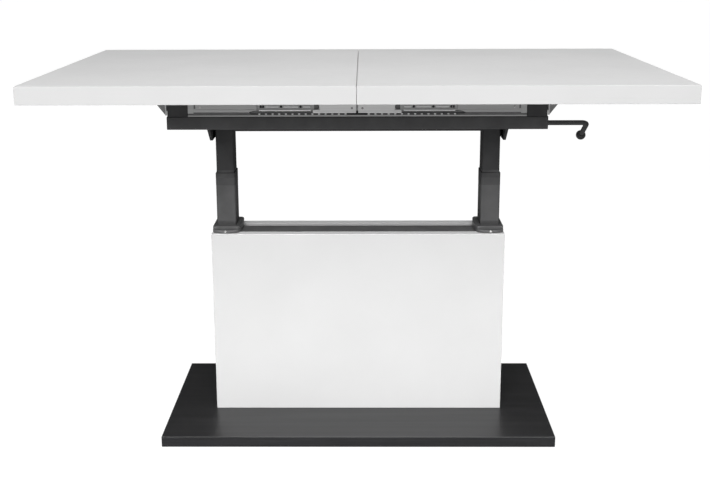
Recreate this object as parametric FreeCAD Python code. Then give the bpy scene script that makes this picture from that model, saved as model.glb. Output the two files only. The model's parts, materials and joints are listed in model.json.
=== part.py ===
import FreeCAD, Part
import math
import os

# A coffee table that lifts to dining height and draws out to a longer top.
# Millimetres. X runs along the table, -Y is the front, Z is up from the floor.

# Tabletop
TOP_LENGTH = 1200.0
TOP_DEPTH = 700.0
TOP_THICK = 33.0
TABLE_HEIGHT = 755.0
TOP_JOINT = 0.6
TOP_EASE = 1.0
DRAW_OUT = 200.0
DOWEL_R = 4.0
DOWEL_CLEAR = 0.1
DOWEL_IN = 20.0
DOWEL_OUT = 12.0
DOWEL_HOLE = 14.0
DOWEL_SPREAD = 250.0

# Steel frame under the top
FRAME_OVERHANG = 55.0
FRAME_DEPTH = 400.0
TUBE_WIDTH = 30.0
TUBE_HEIGHT = 25.0
TUBE_WALL = 2.0
TUBE_ROUND = 2.5
SIDE_WIDTH = 40.0
ARM_WIDTH = 40.0
SLIDE_HEIGHT = 44.0
PLUG_FACE = 1.5
PLUG_DEPTH = 12.0
HORN_WIDTH = 39.0
HORN_THICK = 6.0
HORN_CLEAR = 5.0

# Draw slides
RAIL_BASE = 3.0
RAIL_SET = 1.0
RAIL_REACH = 80.0
RAIL_WEB = 4.0
RAIL_LIP = 3.0
RAIL_LIP_DEPTH = 10.0
GROOVE_UP = 14.0
RAIL_ROOM = 6.0
RUNNER_SET = 8.0
RUNNER_WIDTH = 56.0
RUNNER_WALL = 3.0
RUNNER_OVERHANG = 37.0
RUNNER_RAKE = 26.0
RUNNER_CLEAR = 0.3
CAGE_NEAR = 72.0
CAGE_FAR = 185.0
CAGE_HEIGHT = 9.0
CAGE_THICK = 3.0
CAGE_SINK = 2.0
CAGE_UP = 2.5
BALL_R = 3.2
BALL_COUNT = 4

# Rack and pinion that keep the two halves in step
MODULE = 4.0
TEETH = 10
PRESSURE = math.radians(25.0)
ADDENDUM = 0.8 * MODULE
DEDENDUM = 1.0 * MODULE
BACKLASH = 0.35
RACK_THICK = 5.8
RACK_BACK = 7.0
RACK_LIFT = 0.6
RACK_PAD = 1.0
RACK_OWN = 60.0
RACK_PAST = 15.0
PAD_NEAR = 20.0
POCKET_WIDTH = 4.0
POCKET_DEPTH = 1.5
GUIDE_LENGTH = 38.0
GUIDE_HEIGHT = 7.0
GUIDE_CLEAR = 0.3
AXLE_R = 4.0
AXLE_HEAD_R = 6.0
AXLE_HEAD = 3.0
RUN_CLEAR = 0.05

# Telescopic columns
COLUMN_INSET = 29.0
COLUMN_SHOWN = 238.0
UPPER_SHOWN = 124.0
OUTER_W = 46.0
STAGE_ROOM = 3.0
MIDDLE_STEP = 3.0
UPPER_STEP = 1.9
STAGE_WALL = 1.5
STAGE_ROUND = 4.0
UPPER_LENGTH = 228.0
MIDDLE_LENGTH = 274.0
RING_HEIGHT = 10.0
RING_PROUD = 0.2
STAGE_CLEAR = 0.4
PAD_THICK = 1.2
PAD_HEIGHT = 40.0
HEAD_THICK = 5.0
HEAD_WIDTH = 60.0
HEAD_DEPTH = 170.0
GUSSET_THICK = 6.0
GUSSET_DROP = 46.0
GUSSET_FOOT = 52.0
GUSSET_GAP = 3.4
BEAM_HEIGHT = 27.0
BEAM_DEPTH = 50.0
BEAM_WALL = 3.0

# Pedestal box and floor plate
PLATE_MARGIN = 95.0
PLATE_DEPTH = 400.0
PLATE_TOP = 22.0
PLATE_EASE = 1.0
GLIDE_R = 15.0
GLIDE_HEIGHT = 2.0
GLIDE_INSET = 40.0
BOX_LENGTH = 610.0
BOX_DEPTH = 115.0
PANEL_THICK = 22.0
PANEL_EASE = 1.0
END_THICK = 4.0
END_INSET = 0.5
FOOT_THICK = 5.0
FOOT_INNER = 85.0
FOOT_CLEAR = 0.5
COLLAR_HEIGHT = 7.0
COLLAR_LENGTH = 55.0
COLLAR_DEPTH = 86.0
COLLAR_CHAMFER = 2.0
TIE_DEPTH = 40.0
TIE_HEIGHT = 20.0
TIE_DROP = 6.0
BRACKET_LENGTH = 40.0
BRACKET_LEG = 25.0
BRACKET_THICK = 2.5
BRACKET_GAP = 51.0

# Gas springs and their release
CYLINDER_R = 11.0
CYLINDER_WALL = 3.0
ROD_SHOWN = 312.0
CYLINDER_END = 10.0
ROD_R = 5.0
ROD_CLEAR = 0.3
PISTON_HEIGHT = 12.0
PISTON_DROP = 6.0
SEAT_THICK = 6.0
SEAT_DROP = 41.0
NUT_FLATS = 16.0
NUT_HEIGHT = 6.0
PIN_R = 2.5
PIN_OUT = 8.0
PIN_LENGTH = 24.0
PIN_ROOM = 6.0
SHAFT_R = 5.25
SHAFT_Y = 5.0
SHAFT_DROP = 15.0
SHAFT_END = 13.0
SHAFT_OUT = 118.0
BUSH_R = 7.0
BUSH_LENGTH = 6.0
ARM_BACK = 62.0
ARM_DROP = 36.5
ARM_BEND = 12.0
BALL_KNOB_R = 10.4
FINGER_WIDTH = 10.0
FINGER_REACH = 12.0
FINGER_GAP = 0.4
HUB_R = 6.8

# Fasteners
BOLT_R = 3.0
BOLT_HEAD_R = 5.0
BOLT_HEAD = 4.0
SCREW_HEAD_R = 3.5
SCREW_HEAD = 1.6
SCREW_R = 1.8
SCREW_LENGTH = 16.0

# Levels and faces that follow from the sizes above
FRAME_LENGTH = BOX_LENGTH + 2 * FRAME_OVERHANG
PLATE_LENGTH = BOX_LENGTH + 2 * PLATE_MARGIN
COLUMN_X = BOX_LENGTH / 2 - COLUMN_INSET
TOP_UNDER = TABLE_HEIGHT - TOP_THICK
FRAME_TOP = TOP_UNDER - SLIDE_HEIGHT
FRAME_UNDER = FRAME_TOP - TUBE_HEIGHT
FRAME_FRONT = -FRAME_DEPTH / 2
HEAD_UNDER = FRAME_UNDER - HEAD_THICK
MIDDLE_TOP = HEAD_UNDER - UPPER_SHOWN
BOX_TOP = HEAD_UNDER - COLUMN_SHOWN
RAIL_TOP = FRAME_TOP + RAIL_BASE
RACK_UNDER = RAIL_TOP + RACK_LIFT
RACK_TOP = RACK_UNDER + RACK_THICK
RUNNER_UNDER = RACK_TOP + RACK_PAD
PITCH = math.pi * MODULE
PITCH_R = MODULE * TEETH / 2
PINION_IN = RUNNER_SET + RUNNER_WIDTH / 2 + RAIL_SET
GROOVE_LOW = RAIL_TOP + GROOVE_UP
GROOVE_HEIGHT = SLIDE_HEIGHT - RAIL_BASE - GROOVE_UP - RAIL_LIP - RAIL_ROOM
PLATE_UNDER = GLIDE_HEIGHT
FOOT_TOP = PLATE_TOP + FOOT_THICK
BOX_INNER = BOX_DEPTH / 2 - PANEL_THICK
OUTER_D = 2 * (BOX_INNER - STAGE_ROOM)
MIDDLE_W = OUTER_W - 2 * MIDDLE_STEP
MIDDLE_D = OUTER_D - 2 * MIDDLE_STEP
UPPER_W = MIDDLE_W - 2 * UPPER_STEP
UPPER_D = MIDDLE_D - 2 * UPPER_STEP
BRACKET_X = COLUMN_X - FOOT_INNER - BRACKET_GAP - BRACKET_LENGTH / 2
SEAT_TOP = FRAME_UNDER - SEAT_DROP
CYLINDER_TOP = SEAT_TOP - ROD_SHOWN
SHAFT_REACH = FRAME_LENGTH / 2 + SHAFT_OUT
SHAFT_Z = HEAD_UNDER - SHAFT_DROP
ROD_TOP = SEAT_TOP + NUT_HEIGHT
PIN_TOP = ROD_TOP + PIN_OUT
UP = FreeCAD.Vector(0, 0, 1)
ALONG = FreeCAD.Vector(1, 0, 0)
ORIGIN = FreeCAD.Vector(0, 0, 0)


def vec(x, y, z):
    return FreeCAD.Vector(x, y, z)


def block(x0, x1, y0, y1, z0, z1):
    """Box between two corners."""
    return Part.makeBox(x1 - x0, y1 - y0, z1 - z0, vec(x0, y0, z0))


def post(radius, x, y, z0, z1):
    """Upright round bar."""
    return Part.makeCylinder(radius, z1 - z0, vec(x, y, z0), UP)


def bar_along_x(radius, x0, x1, y, z):
    """Round bar lying along the table."""
    return Part.makeCylinder(radius, x1 - x0, vec(x0, y, z), ALONG)


def flip_x(shape):
    """The same piece on the other end of the table."""
    return shape.mirror(ORIGIN, ALONG)


def flip_y(shape):
    """The same piece on the other long side of the table."""
    return shape.mirror(ORIGIN, vec(0, 1, 0))


def prism(points, direction):
    """Closed outline pushed along a vector."""
    return Part.Face(Part.makePolygon(points + points[:1])).extrude(direction)


def upright_edges(shape):
    return [e for e in shape.Edges if abs(e.Vertexes[0].Z - e.Vertexes[-1].Z) > 1.0]


def rounded_post(x, width, depth, z0, z1, radius):
    """Upright bar with rounded corners, centred on the column line."""
    bar = block(x - width / 2, x + width / 2, -depth / 2, depth / 2, z0, z1)
    return bar.makeFillet(radius, upright_edges(bar))


def stage_tube(x, width, depth, z0, z1):
    """Rectangular column tube with rounded corners."""
    bore = rounded_post(x, width - 2 * STAGE_WALL, depth - 2 * STAGE_WALL, z0, z1, STAGE_ROUND - STAGE_WALL)
    return rounded_post(x, width, depth, z0, z1, STAGE_ROUND).cut(bore)


def eased(shape, size):
    """Break every outer edge of a board."""
    return shape.makeChamfer(size, shape.Edges)


def save(name, *solids):
    """Write one node as a STEP file."""
    shape = solids[0] if len(solids) == 1 else Part.makeCompound(list(solids))
    shape.exportStep("parts/%s.step" % name)


def pair(name, right):
    """Write the right-hand piece and its mirror image."""
    save(name + "_right", right)
    save(name + "_left", flip_x(right))


def both_ends(name, right):
    """Write the right-hand piece and its mirror image as one node."""
    save(name, right, flip_x(right))


def depth_pair(name, front):
    """Write the front piece and its mirror image at the rear."""
    save(name + "_front", front)
    save(name + "_rear", flip_y(front))


def dowel_places():
    return [(row * DOWEL_SPREAD, TOP_UNDER + TOP_THICK / 2) for row in (-1, 0, 1)]


def top_half():
    """Right half of the tabletop, with square joint edges and eased outer ones."""
    board = block(TOP_JOINT / 2, TOP_LENGTH / 2, -TOP_DEPTH / 2, TOP_DEPTH / 2, TOP_UNDER, TABLE_HEIGHT)
    outer = [e for e in board.Edges if max(v.X for v in e.Vertexes) > TOP_JOINT]
    return board.makeChamfer(TOP_EASE, outer)


def drilled_half(board, radius, depth):
    """Board with the dowel holes in its joint edge."""
    for y, z in dowel_places():
        board = board.cut(bar_along_x(radius, TOP_JOINT / 2, TOP_JOINT / 2 + depth, y, z))
    return board


def build_tabletop():
    board = top_half()
    save("top_right", drilled_half(board, DOWEL_R + DOWEL_CLEAR, DOWEL_HOLE))
    save("top_left", flip_x(drilled_half(board, DOWEL_R, DOWEL_IN)))
    start = -TOP_JOINT / 2 - DOWEL_IN
    save("top_dowels", *[bar_along_x(DOWEL_R, start, DOWEL_OUT, y, z) for y, z in dowel_places()])


def rounded_bar(bar, axis):
    """Bar with its four long corners rounded."""
    corners = [e for e in bar.Edges if abs(e.tangentAt(e.FirstParameter).dot(axis)) > 0.99]
    return bar.makeFillet(TUBE_ROUND, corners)


def tube_along_x(x0, x1, y0, y1, z0, z1):
    t = TUBE_WALL
    bore = block(x0, x1, y0 + t, y1 - t, z0 + t, z1 - t)
    return rounded_bar(block(x0, x1, y0, y1, z0, z1), ALONG).cut(bore)


def tube_along_y(x0, x1, y0, y1, z0, z1):
    t = TUBE_WALL
    bore = block(x0 + t, x1 - t, y0, y1, z0 + t, z1 - t)
    return rounded_bar(block(x0, x1, y0, y1, z0, z1), vec(0, 1, 0)).cut(bore)


def tube_plug():
    """Moulded plug in the right end of the front tube."""
    end = FRAME_LENGTH / 2
    y0 = FRAME_FRONT
    face = block(end, end + PLUG_FACE, y0, y0 + TUBE_WIDTH, FRAME_UNDER, FRAME_TOP)
    face = rounded_bar(face, ALONG)
    t = TUBE_WALL
    stem = block(end - PLUG_DEPTH, end, y0 + t, y0 + TUBE_WIDTH - t, FRAME_UNDER + t, FRAME_TOP - t)
    return face.fuse(stem).removeSplitter()


def horn():
    """Upstand at the right end of the front tube, in front of the slide."""
    end = FRAME_LENGTH / 2
    z1 = TOP_UNDER - HORN_CLEAR
    plate = block(end - HORN_WIDTH, end, FRAME_FRONT, FRAME_FRONT + HORN_THICK, FRAME_TOP, z1)
    corners = [e for e in plate.Edges if min(v.Z for v in e.Vertexes) > z1 - TOP_EASE]
    return plate.makeChamfer(TOP_EASE, corners)


def build_frame():
    half = FRAME_LENGTH / 2
    inner = FRAME_DEPTH / 2 - TUBE_WIDTH
    front = tube_along_x(-half, half, FRAME_FRONT, -inner, FRAME_UNDER, FRAME_TOP)
    depth_pair("frame_tube", front)
    both_ends("frame_sides", tube_along_y(half - SIDE_WIDTH, half, -inner, inner, FRAME_UNDER, FRAME_TOP))
    x0 = COLUMN_X - ARM_WIDTH / 2
    both_ends("frame_arms", tube_along_y(x0, x0 + ARM_WIDTH, -inner, inner, FRAME_UNDER, FRAME_TOP))
    plug = tube_plug()
    save("tube_plugs", plug, flip_x(plug), flip_y(plug), flip_x(flip_y(plug)))
    upstand = horn()
    save("frame_horns", upstand, flip_x(upstand), flip_y(upstand), flip_x(flip_y(upstand)))


def slide_rail():
    """Fixed front extrusion: a floor that carries the racks and a grooved rear wall."""
    half = FRAME_LENGTH / 2
    y0 = FRAME_FRONT + RAIL_SET
    y1 = y0 + RAIL_REACH
    wall = y1 - RAIL_WEB
    lip = wall - RAIL_LIP_DEPTH
    low = GROOVE_LOW
    high = GROOVE_LOW + GROOVE_HEIGHT
    section = [
        vec(-half, y0, FRAME_TOP), vec(-half, y1, FRAME_TOP), vec(-half, y1, high + RAIL_LIP),
        vec(-half, lip, high + RAIL_LIP), vec(-half, lip, high), vec(-half, wall, high),
        vec(-half, wall, low), vec(-half, lip, low), vec(-half, lip, low - RAIL_LIP),
        vec(-half, wall, low - RAIL_LIP), vec(-half, wall, RAIL_TOP), vec(-half, y0, RAIL_TOP),
    ]
    rail = prism(section, vec(FRAME_LENGTH, 0, 0))
    upstand = horn()
    rail = rail.cut(upstand).cut(flip_x(upstand))
    return rail.cut(post(AXLE_R, 0, FRAME_FRONT + PINION_IN, FRAME_TOP, RAIL_TOP))


def runner():
    """Moving front extrusion under the right half of the top, raked at its outer end."""
    x0 = TOP_JOINT / 2
    x1 = FRAME_LENGTH / 2 + RUNNER_OVERHANG
    y0 = FRAME_FRONT + RUNNER_SET
    y1 = y0 + RUNNER_WIDTH
    t = RUNNER_WALL
    tongue = FRAME_FRONT + RAIL_SET + RAIL_REACH - RAIL_WEB - RUNNER_CLEAR
    low = GROOVE_LOW + RUNNER_CLEAR
    high = GROOVE_LOW + GROOVE_HEIGHT - RUNNER_CLEAR
    cage_low = RUNNER_UNDER + CAGE_UP
    cage_high = cage_low + CAGE_HEIGHT
    section = [
        vec(x0, y0, RUNNER_UNDER), vec(x0, y1, RUNNER_UNDER), vec(x0, y1, low), vec(x0, tongue, low),
        vec(x0, tongue, high), vec(x0, y1, high), vec(x0, y1, TOP_UNDER), vec(x0, y0, TOP_UNDER),
        vec(x0, y0, cage_high), vec(x0, y0 + CAGE_SINK, cage_high),
        vec(x0, y0 + CAGE_SINK, cage_low), vec(x0, y0, cage_low),
    ]
    bar = prism(section, vec(x1 - x0, 0, 0))
    inner = CAGE_SINK + t
    bar = bar.cut(block(x0, x1, y0 + inner, y1 - t, RUNNER_UNDER + t, TOP_UNDER - t))
    rake = [
        vec(x1 - RUNNER_RAKE, y0, RUNNER_UNDER), vec(x1, y0, TOP_UNDER),
        vec(x1 + RUNNER_RAKE, y0, TOP_UNDER), vec(x1 + RUNNER_RAKE, y0, RUNNER_UNDER),
    ]
    return bar.cut(prism(rake, vec(0, RAIL_REACH, 0)))


def ball_cage():
    """Black strip of balls in the right runner's front groove, round at its inner end."""
    y0 = FRAME_FRONT + RUNNER_SET + CAGE_SINK - CAGE_THICK
    low = RUNNER_UNDER + CAGE_UP
    mid = low + CAGE_HEIGHT / 2
    back = vec(0, CAGE_THICK, 0)
    nose = CAGE_NEAR + CAGE_HEIGHT / 2
    outline = Part.Wire([
        Part.makeLine(vec(nose, y0, low), vec(CAGE_FAR, y0, low)),
        Part.makeLine(vec(CAGE_FAR, y0, low), vec(CAGE_FAR, y0, low + CAGE_HEIGHT)),
        Part.makeLine(vec(CAGE_FAR, y0, low + CAGE_HEIGHT), vec(nose, y0, low + CAGE_HEIGHT)),
        Part.Arc(vec(nose, y0, low + CAGE_HEIGHT), vec(CAGE_NEAR, y0, mid), vec(nose, y0, low)).toShape(),
    ])
    strip = Part.Face(outline).extrude(back)
    step = (CAGE_FAR - nose - BALL_R) / (BALL_COUNT - 1)
    for count in range(BALL_COUNT):
        seat = Part.makeCylinder(BALL_R, CAGE_THICK / 3, vec(nose + count * step, y0, mid), vec(0, 1, 0))
        strip = strip.cut(seat)
    return strip


def tooth_width():
    return PITCH / 2 - BACKLASH


def rack(x0, x1, pitch_in, face):
    """Toothed strip on the slide's floor, pocketed at its back; face is +1 when it looks to the middle."""
    def at(x, height):
        return vec(x, FRAME_FRONT + pitch_in + face * height, RACK_UNDER)
    tip = tooth_width() / 2 - ADDENDUM * math.tan(PRESSURE)
    root = tooth_width() / 2 + DEDENDUM * math.tan(PRESSURE)
    first = math.ceil((x0 + root) / PITCH - 0.5)
    last = math.floor((x1 - root) / PITCH - 0.5)
    back = -DEDENDUM - RACK_BACK
    floor = back + POCKET_DEPTH
    half = POCKET_WIDTH / 2
    points = [at(x1, -DEDENDUM), at(x1, back)]
    for count in range(last, first, -1):
        x = count * PITCH
        points += [at(x + half, back), at(x + half, floor), at(x - half, floor), at(x - half, back)]
    points += [at(x0, back), at(x0, -DEDENDUM)]
    for count in range(first, last + 1):
        x = (count + 0.5) * PITCH
        points += [at(x - root, -DEDENDUM), at(x - tip, ADDENDUM)]
        points += [at(x + tip, ADDENDUM), at(x + root, -DEDENDUM)]
    return prism(points, vec(0, 0, RACK_THICK))


def outer_rack():
    """Rack of the left half, on the front side of the pinion."""
    pitch_in = PINION_IN - PITCH_R
    strip = rack(-RACK_OWN, DRAW_OUT + RACK_PAST, pitch_in, 1)
    y0 = FRAME_FRONT + RUNNER_SET
    y1 = FRAME_FRONT + pitch_in - DEDENDUM
    return strip.fuse(block(-RACK_OWN, -PAD_NEAR, y0, y1, RACK_TOP, RUNNER_UNDER)).removeSplitter()


def inner_rack():
    """Rack of the right half, on the rear side of the pinion."""
    pitch_in = PINION_IN + PITCH_R
    strip = rack(-DRAW_OUT - RACK_PAST, RACK_OWN, pitch_in, -1)
    y0 = FRAME_FRONT + pitch_in + DEDENDUM
    y1 = FRAME_FRONT + RUNNER_SET + RUNNER_WIDTH
    return strip.fuse(block(PAD_NEAR, RACK_OWN, y0, y1, RACK_TOP, RUNNER_UNDER)).removeSplitter()


def involute(angle):
    return math.tan(angle) - angle


def pinion():
    """Small gear on the front slide's floor, between the two racks."""
    base_r = PITCH_R * math.cos(PRESSURE)
    tip_r = PITCH_R + ADDENDUM
    root_r = PITCH_R - DEDENDUM
    steps = 4
    flank = []
    for count in range(steps + 1):
        r = base_r + (tip_r - base_r) * count / steps
        half = tooth_width() / (2 * PITCH_R) + involute(PRESSURE) - involute(math.acos(base_r / r))
        flank.append((r, half))
    flank.insert(0, (root_r, flank[0][1]))
    axis = vec(0, FRAME_FRONT + PINION_IN, RACK_UNDER)
    points = []
    for tooth in range(TEETH):
        middle = math.pi / 2 + tooth * 2 * math.pi / TEETH
        side = [(r, middle - half) for r, half in flank] + [(r, middle + half) for r, half in reversed(flank)]
        points += [axis + vec(r * math.cos(a), r * math.sin(a), 0) for r, a in side]
    gear = prism(points, vec(0, 0, RACK_THICK))
    return gear.cut(post(AXLE_R + RUN_CLEAR, 0, FRAME_FRONT + PINION_IN, RACK_UNDER, RACK_TOP))


def pinion_axle():
    """Headed pin through the slide's floor."""
    y = FRAME_FRONT + PINION_IN
    pin = post(AXLE_R, 0, y, FRAME_TOP, RUNNER_UNDER - RACK_PAD / 2)
    return pin.fuse(post(AXLE_HEAD_R, 0, y, FRAME_TOP - AXLE_HEAD, FRAME_TOP)).removeSplitter()


def rack_guides():
    """Blocks on the front slide's floor that hold both racks to the pinion."""
    reach = PITCH_R + DEDENDUM + RACK_BACK + GUIDE_CLEAR
    half = GUIDE_LENGTH / 2
    axis = FRAME_FRONT + PINION_IN
    top = RAIL_TOP + GUIDE_HEIGHT
    outer = block(-half, half, FRAME_FRONT + RAIL_SET, axis - reach, RAIL_TOP, top)
    wall = FRAME_FRONT + RAIL_SET + RAIL_REACH - RAIL_WEB
    return [outer, block(-half, half, axis + reach, wall, RAIL_TOP, top)]


def build_slides():
    depth_pair("slide_rail", slide_rail())
    front_right = runner()
    depth_pair("runner_right", front_right)
    depth_pair("runner_left", flip_x(front_right))
    cage = ball_cage()
    pair("ball_cages", Part.makeCompound([cage, flip_y(cage)]))
    depth_pair("rack_left", outer_rack())
    depth_pair("rack_right", inner_rack())
    depth_pair("pinion", pinion())
    axle = pinion_axle()
    save("pinion_axles", axle, flip_y(axle))
    guides = rack_guides()
    save("rack_guides", *(guides + [flip_y(g) for g in guides]))


def head_plate():
    half = HEAD_WIDTH / 2
    return block(COLUMN_X - half, COLUMN_X + half, -HEAD_DEPTH / 2, HEAD_DEPTH / 2, HEAD_UNDER, FRAME_UNDER)


def gusset():
    """Tapered plate outside the right column, clear of the stage that passes it."""
    x = COLUMN_X + MIDDLE_W / 2 + RING_PROUD + GUSSET_GAP
    low = HEAD_UNDER - GUSSET_DROP
    outline = [
        vec(x, -GUSSET_FOOT / 2, low), vec(x, GUSSET_FOOT / 2, low),
        vec(x, HEAD_DEPTH / 2, HEAD_UNDER), vec(x, -HEAD_DEPTH / 2, HEAD_UNDER),
    ]
    plate = prism(outline, vec(GUSSET_THICK, 0, 0))
    return plate.cut(bar_along_x(BUSH_R, x, x + GUSSET_THICK, SHAFT_Y, SHAFT_Z))


def upper_stage():
    """Top column tube with the holes for the release shaft's bushes."""
    tube = stage_tube(COLUMN_X, UPPER_W, UPPER_D, HEAD_UNDER - UPPER_LENGTH, HEAD_UNDER)
    half = UPPER_W / 2
    return tube.cut(bar_along_x(BUSH_R, COLUMN_X - half, COLUMN_X + half, SHAFT_Y, SHAFT_Z))


def cross_beam():
    """Inverted channel between the two column heads, over the release shaft."""
    end = COLUMN_X - UPPER_W / 2
    low = HEAD_UNDER - BEAM_HEIGHT
    t = BEAM_WALL
    half = BEAM_DEPTH / 2
    solid = block(-end, end, -half, half, low, HEAD_UNDER)
    return solid.cut(block(-end, end, -half + t, half - t, low, HEAD_UNDER - t))


def stage_ring():
    """Moulded guide on top of the right middle stage."""
    width = MIDDLE_W + 2 * RING_PROUD
    depth = MIDDLE_D + 2 * RING_PROUD
    z1 = MIDDLE_TOP + RING_HEIGHT
    ring = rounded_post(COLUMN_X, width, depth, MIDDLE_TOP, z1, STAGE_ROUND)
    rim = [e for e in ring.Edges if min(v.Z for v in e.Vertexes) > z1 - RING_PROUD]
    ring = ring.makeChamfer(STAGE_WALL - RING_PROUD, rim)
    gap = 2 * STAGE_CLEAR
    return ring.cut(rounded_post(COLUMN_X, UPPER_W + gap, UPPER_D + gap, MIDDLE_TOP, z1, STAGE_ROUND))


def wear_pads():
    """Four thin pads round the foot of the right middle stage."""
    z0 = MIDDLE_TOP - MIDDLE_LENGTH
    z1 = z0 + PAD_HEIGHT
    w, d = MIDDLE_W / 2, MIDDLE_D / 2
    inset = 2 * STAGE_ROUND
    side = block(COLUMN_X + w, COLUMN_X + w + PAD_THICK, inset - d, d - inset, z0, z1)
    front = block(COLUMN_X - w + inset, COLUMN_X + w - inset, -d - PAD_THICK, -d, z0, z1)
    other = side.mirror(vec(COLUMN_X, 0, 0), ALONG)
    return Part.makeCompound([side, other, front, flip_y(front)])


def build_columns():
    both_ends("head_plates", head_plate())
    both_ends("gussets", gusset())
    pair("upper_stage", upper_stage())
    save("cross_beam", cross_beam())
    pair("middle_stage", stage_tube(COLUMN_X, MIDDLE_W, MIDDLE_D, MIDDLE_TOP - MIDDLE_LENGTH, MIDDLE_TOP))
    pair("stage_ring", stage_ring())
    pair("wear_pads", wear_pads())
    pair("outer_stage", stage_tube(COLUMN_X, OUTER_W, OUTER_D, FOOT_TOP, BOX_TOP))


def collar():
    """Chamfered flange that closes the box round the right column."""
    x0 = COLUMN_X - COLLAR_LENGTH / 2
    half = COLLAR_DEPTH / 2
    z1 = BOX_TOP + COLLAR_HEIGHT
    flange = block(x0, x0 + COLLAR_LENGTH, -half, half, BOX_TOP, z1)
    rim = [e for e in flange.Edges if min(v.Z for v in e.Vertexes) > z1 - COLLAR_CHAMFER]
    flange = flange.makeChamfer(COLLAR_CHAMFER, rim + upright_edges(flange))
    gap = 2 * STAGE_CLEAR
    opening = rounded_post(COLUMN_X, MIDDLE_W + gap, MIDDLE_D + gap, BOX_TOP, z1, STAGE_ROUND)
    flange = flange.cut(opening)
    for y in collar_screw_rows():
        flange = flange.cut(post(SCREW_R, COLUMN_X, y, BOX_TOP, z1))
    return flange


def collar_screw_rows():
    y = (COLLAR_DEPTH / 2 - COLLAR_CHAMFER + BOX_INNER) / 2
    return (-y, y)


def collar_screws():
    z1 = BOX_TOP + COLLAR_HEIGHT
    screws = []
    for y in collar_screw_rows():
        shank = post(SCREW_R, COLUMN_X, y, z1 - SCREW_LENGTH, z1)
        screws.append(shank.fuse(post(SCREW_HEAD_R, COLUMN_X, y, z1, z1 + SCREW_HEAD)).removeSplitter())
    return screws


def front_panel():
    half = BOX_LENGTH / 2
    board = block(-half, half, -BOX_DEPTH / 2, -BOX_INNER, PLATE_TOP, BOX_TOP)
    board = eased(board, PANEL_EASE)
    z0 = BOX_TOP + COLLAR_HEIGHT - SCREW_LENGTH
    for x in (-COLUMN_X, COLUMN_X):
        board = board.cut(post(SCREW_R, x, collar_screw_rows()[0], z0, BOX_TOP))
    return board


def foot_plate():
    x0 = COLUMN_X - FOOT_INNER
    x1 = COLUMN_X + OUTER_W / 2
    half = BOX_INNER - FOOT_CLEAR
    plate = block(x0, x1, -half, half, PLATE_TOP, FOOT_TOP)
    for x, y in foot_bolt_places():
        plate = plate.cut(post(BOLT_R, x, y, PLATE_TOP, FOOT_TOP))
    return plate


def foot_bolt_places():
    near = COLUMN_X - FOOT_INNER + 3 * BOLT_HEAD_R
    far = COLUMN_X - OUTER_W / 2 - 2 * BOLT_HEAD_R
    return [(x, y) for x in (near, far) for y in (-BOX_INNER / 2, BOX_INNER / 2)]


def foot_bolts():
    bolts = []
    for x, y in foot_bolt_places():
        shank = post(BOLT_R, x, y, PLATE_TOP - SCREW_LENGTH, FOOT_TOP)
        bolts.append(shank.fuse(post(BOLT_HEAD_R, x, y, FOOT_TOP, FOOT_TOP + BOLT_HEAD)).removeSplitter())
    return bolts


def floor_plate():
    x, y = PLATE_LENGTH / 2, PLATE_DEPTH / 2
    board = eased(block(-x, x, -y, y, PLATE_UNDER, PLATE_TOP), PLATE_EASE)
    for bx, by in foot_bolt_places():
        for side in (-1, 1):
            board = board.cut(post(BOLT_R, side * bx, by, PLATE_TOP - SCREW_LENGTH, PLATE_TOP))
    return board


def floor_glides():
    x, y = PLATE_LENGTH / 2 - GLIDE_INSET, PLATE_DEPTH / 2 - GLIDE_INSET
    return [post(GLIDE_R, sx * x, sy * y, 0, GLIDE_HEIGHT) for sx in (-1, 0, 1) for sy in (-1, 1)]


def panel_bracket():
    """Angle that holds the front panel to the floor plate."""
    x0 = BRACKET_X - BRACKET_LENGTH / 2
    outline = [
        vec(x0, -BOX_INNER, PLATE_TOP), vec(x0, BRACKET_LEG - BOX_INNER, PLATE_TOP),
        vec(x0, BRACKET_LEG - BOX_INNER, PLATE_TOP + BRACKET_THICK),
        vec(x0, BRACKET_THICK - BOX_INNER, PLATE_TOP + BRACKET_THICK),
        vec(x0, BRACKET_THICK - BOX_INNER, PLATE_TOP + BRACKET_LEG),
        vec(x0, -BOX_INNER, PLATE_TOP + BRACKET_LEG),
    ]
    return prism(outline, vec(BRACKET_LENGTH, 0, 0))


def build_pedestal():
    save("floor_plate", floor_plate())
    save("floor_glides", *floor_glides())
    depth_pair("box_panel", front_panel())
    x1 = BOX_LENGTH / 2 - END_INSET
    both_ends("box_ends", block(x1 - END_THICK, x1, -BOX_INNER, BOX_INNER, PLATE_TOP, BOX_TOP))
    both_ends("foot_plates", foot_plate())
    bolts = foot_bolts()
    save("foot_bolts", *(bolts + [flip_x(b) for b in bolts]))
    both_ends("collars", collar())
    screws = collar_screws()
    save("collar_screws", *(screws + [flip_x(s) for s in screws]))
    end = COLUMN_X - OUTER_W / 2
    z1 = BOX_TOP - TIE_DROP
    save("column_tie", tube_along_x(-end, end, -TIE_DEPTH / 2, TIE_DEPTH / 2, z1 - TIE_HEIGHT, z1))
    angle = panel_bracket()
    save("panel_brackets", angle, flip_x(angle), flip_y(angle), flip_x(flip_y(angle)))


def gas_cylinder():
    """Pressure tube of the right gas spring, standing on the column's foot."""
    tube = post(CYLINDER_R, COLUMN_X, 0, FOOT_TOP, CYLINDER_TOP)
    bore_r = CYLINDER_R - CYLINDER_WALL
    tube = tube.cut(post(bore_r, COLUMN_X, 0, FOOT_TOP + CYLINDER_END, CYLINDER_TOP - CYLINDER_END))
    return tube.cut(post(ROD_R + ROD_CLEAR, COLUMN_X, 0, CYLINDER_TOP - CYLINDER_END, CYLINDER_TOP))


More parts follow.
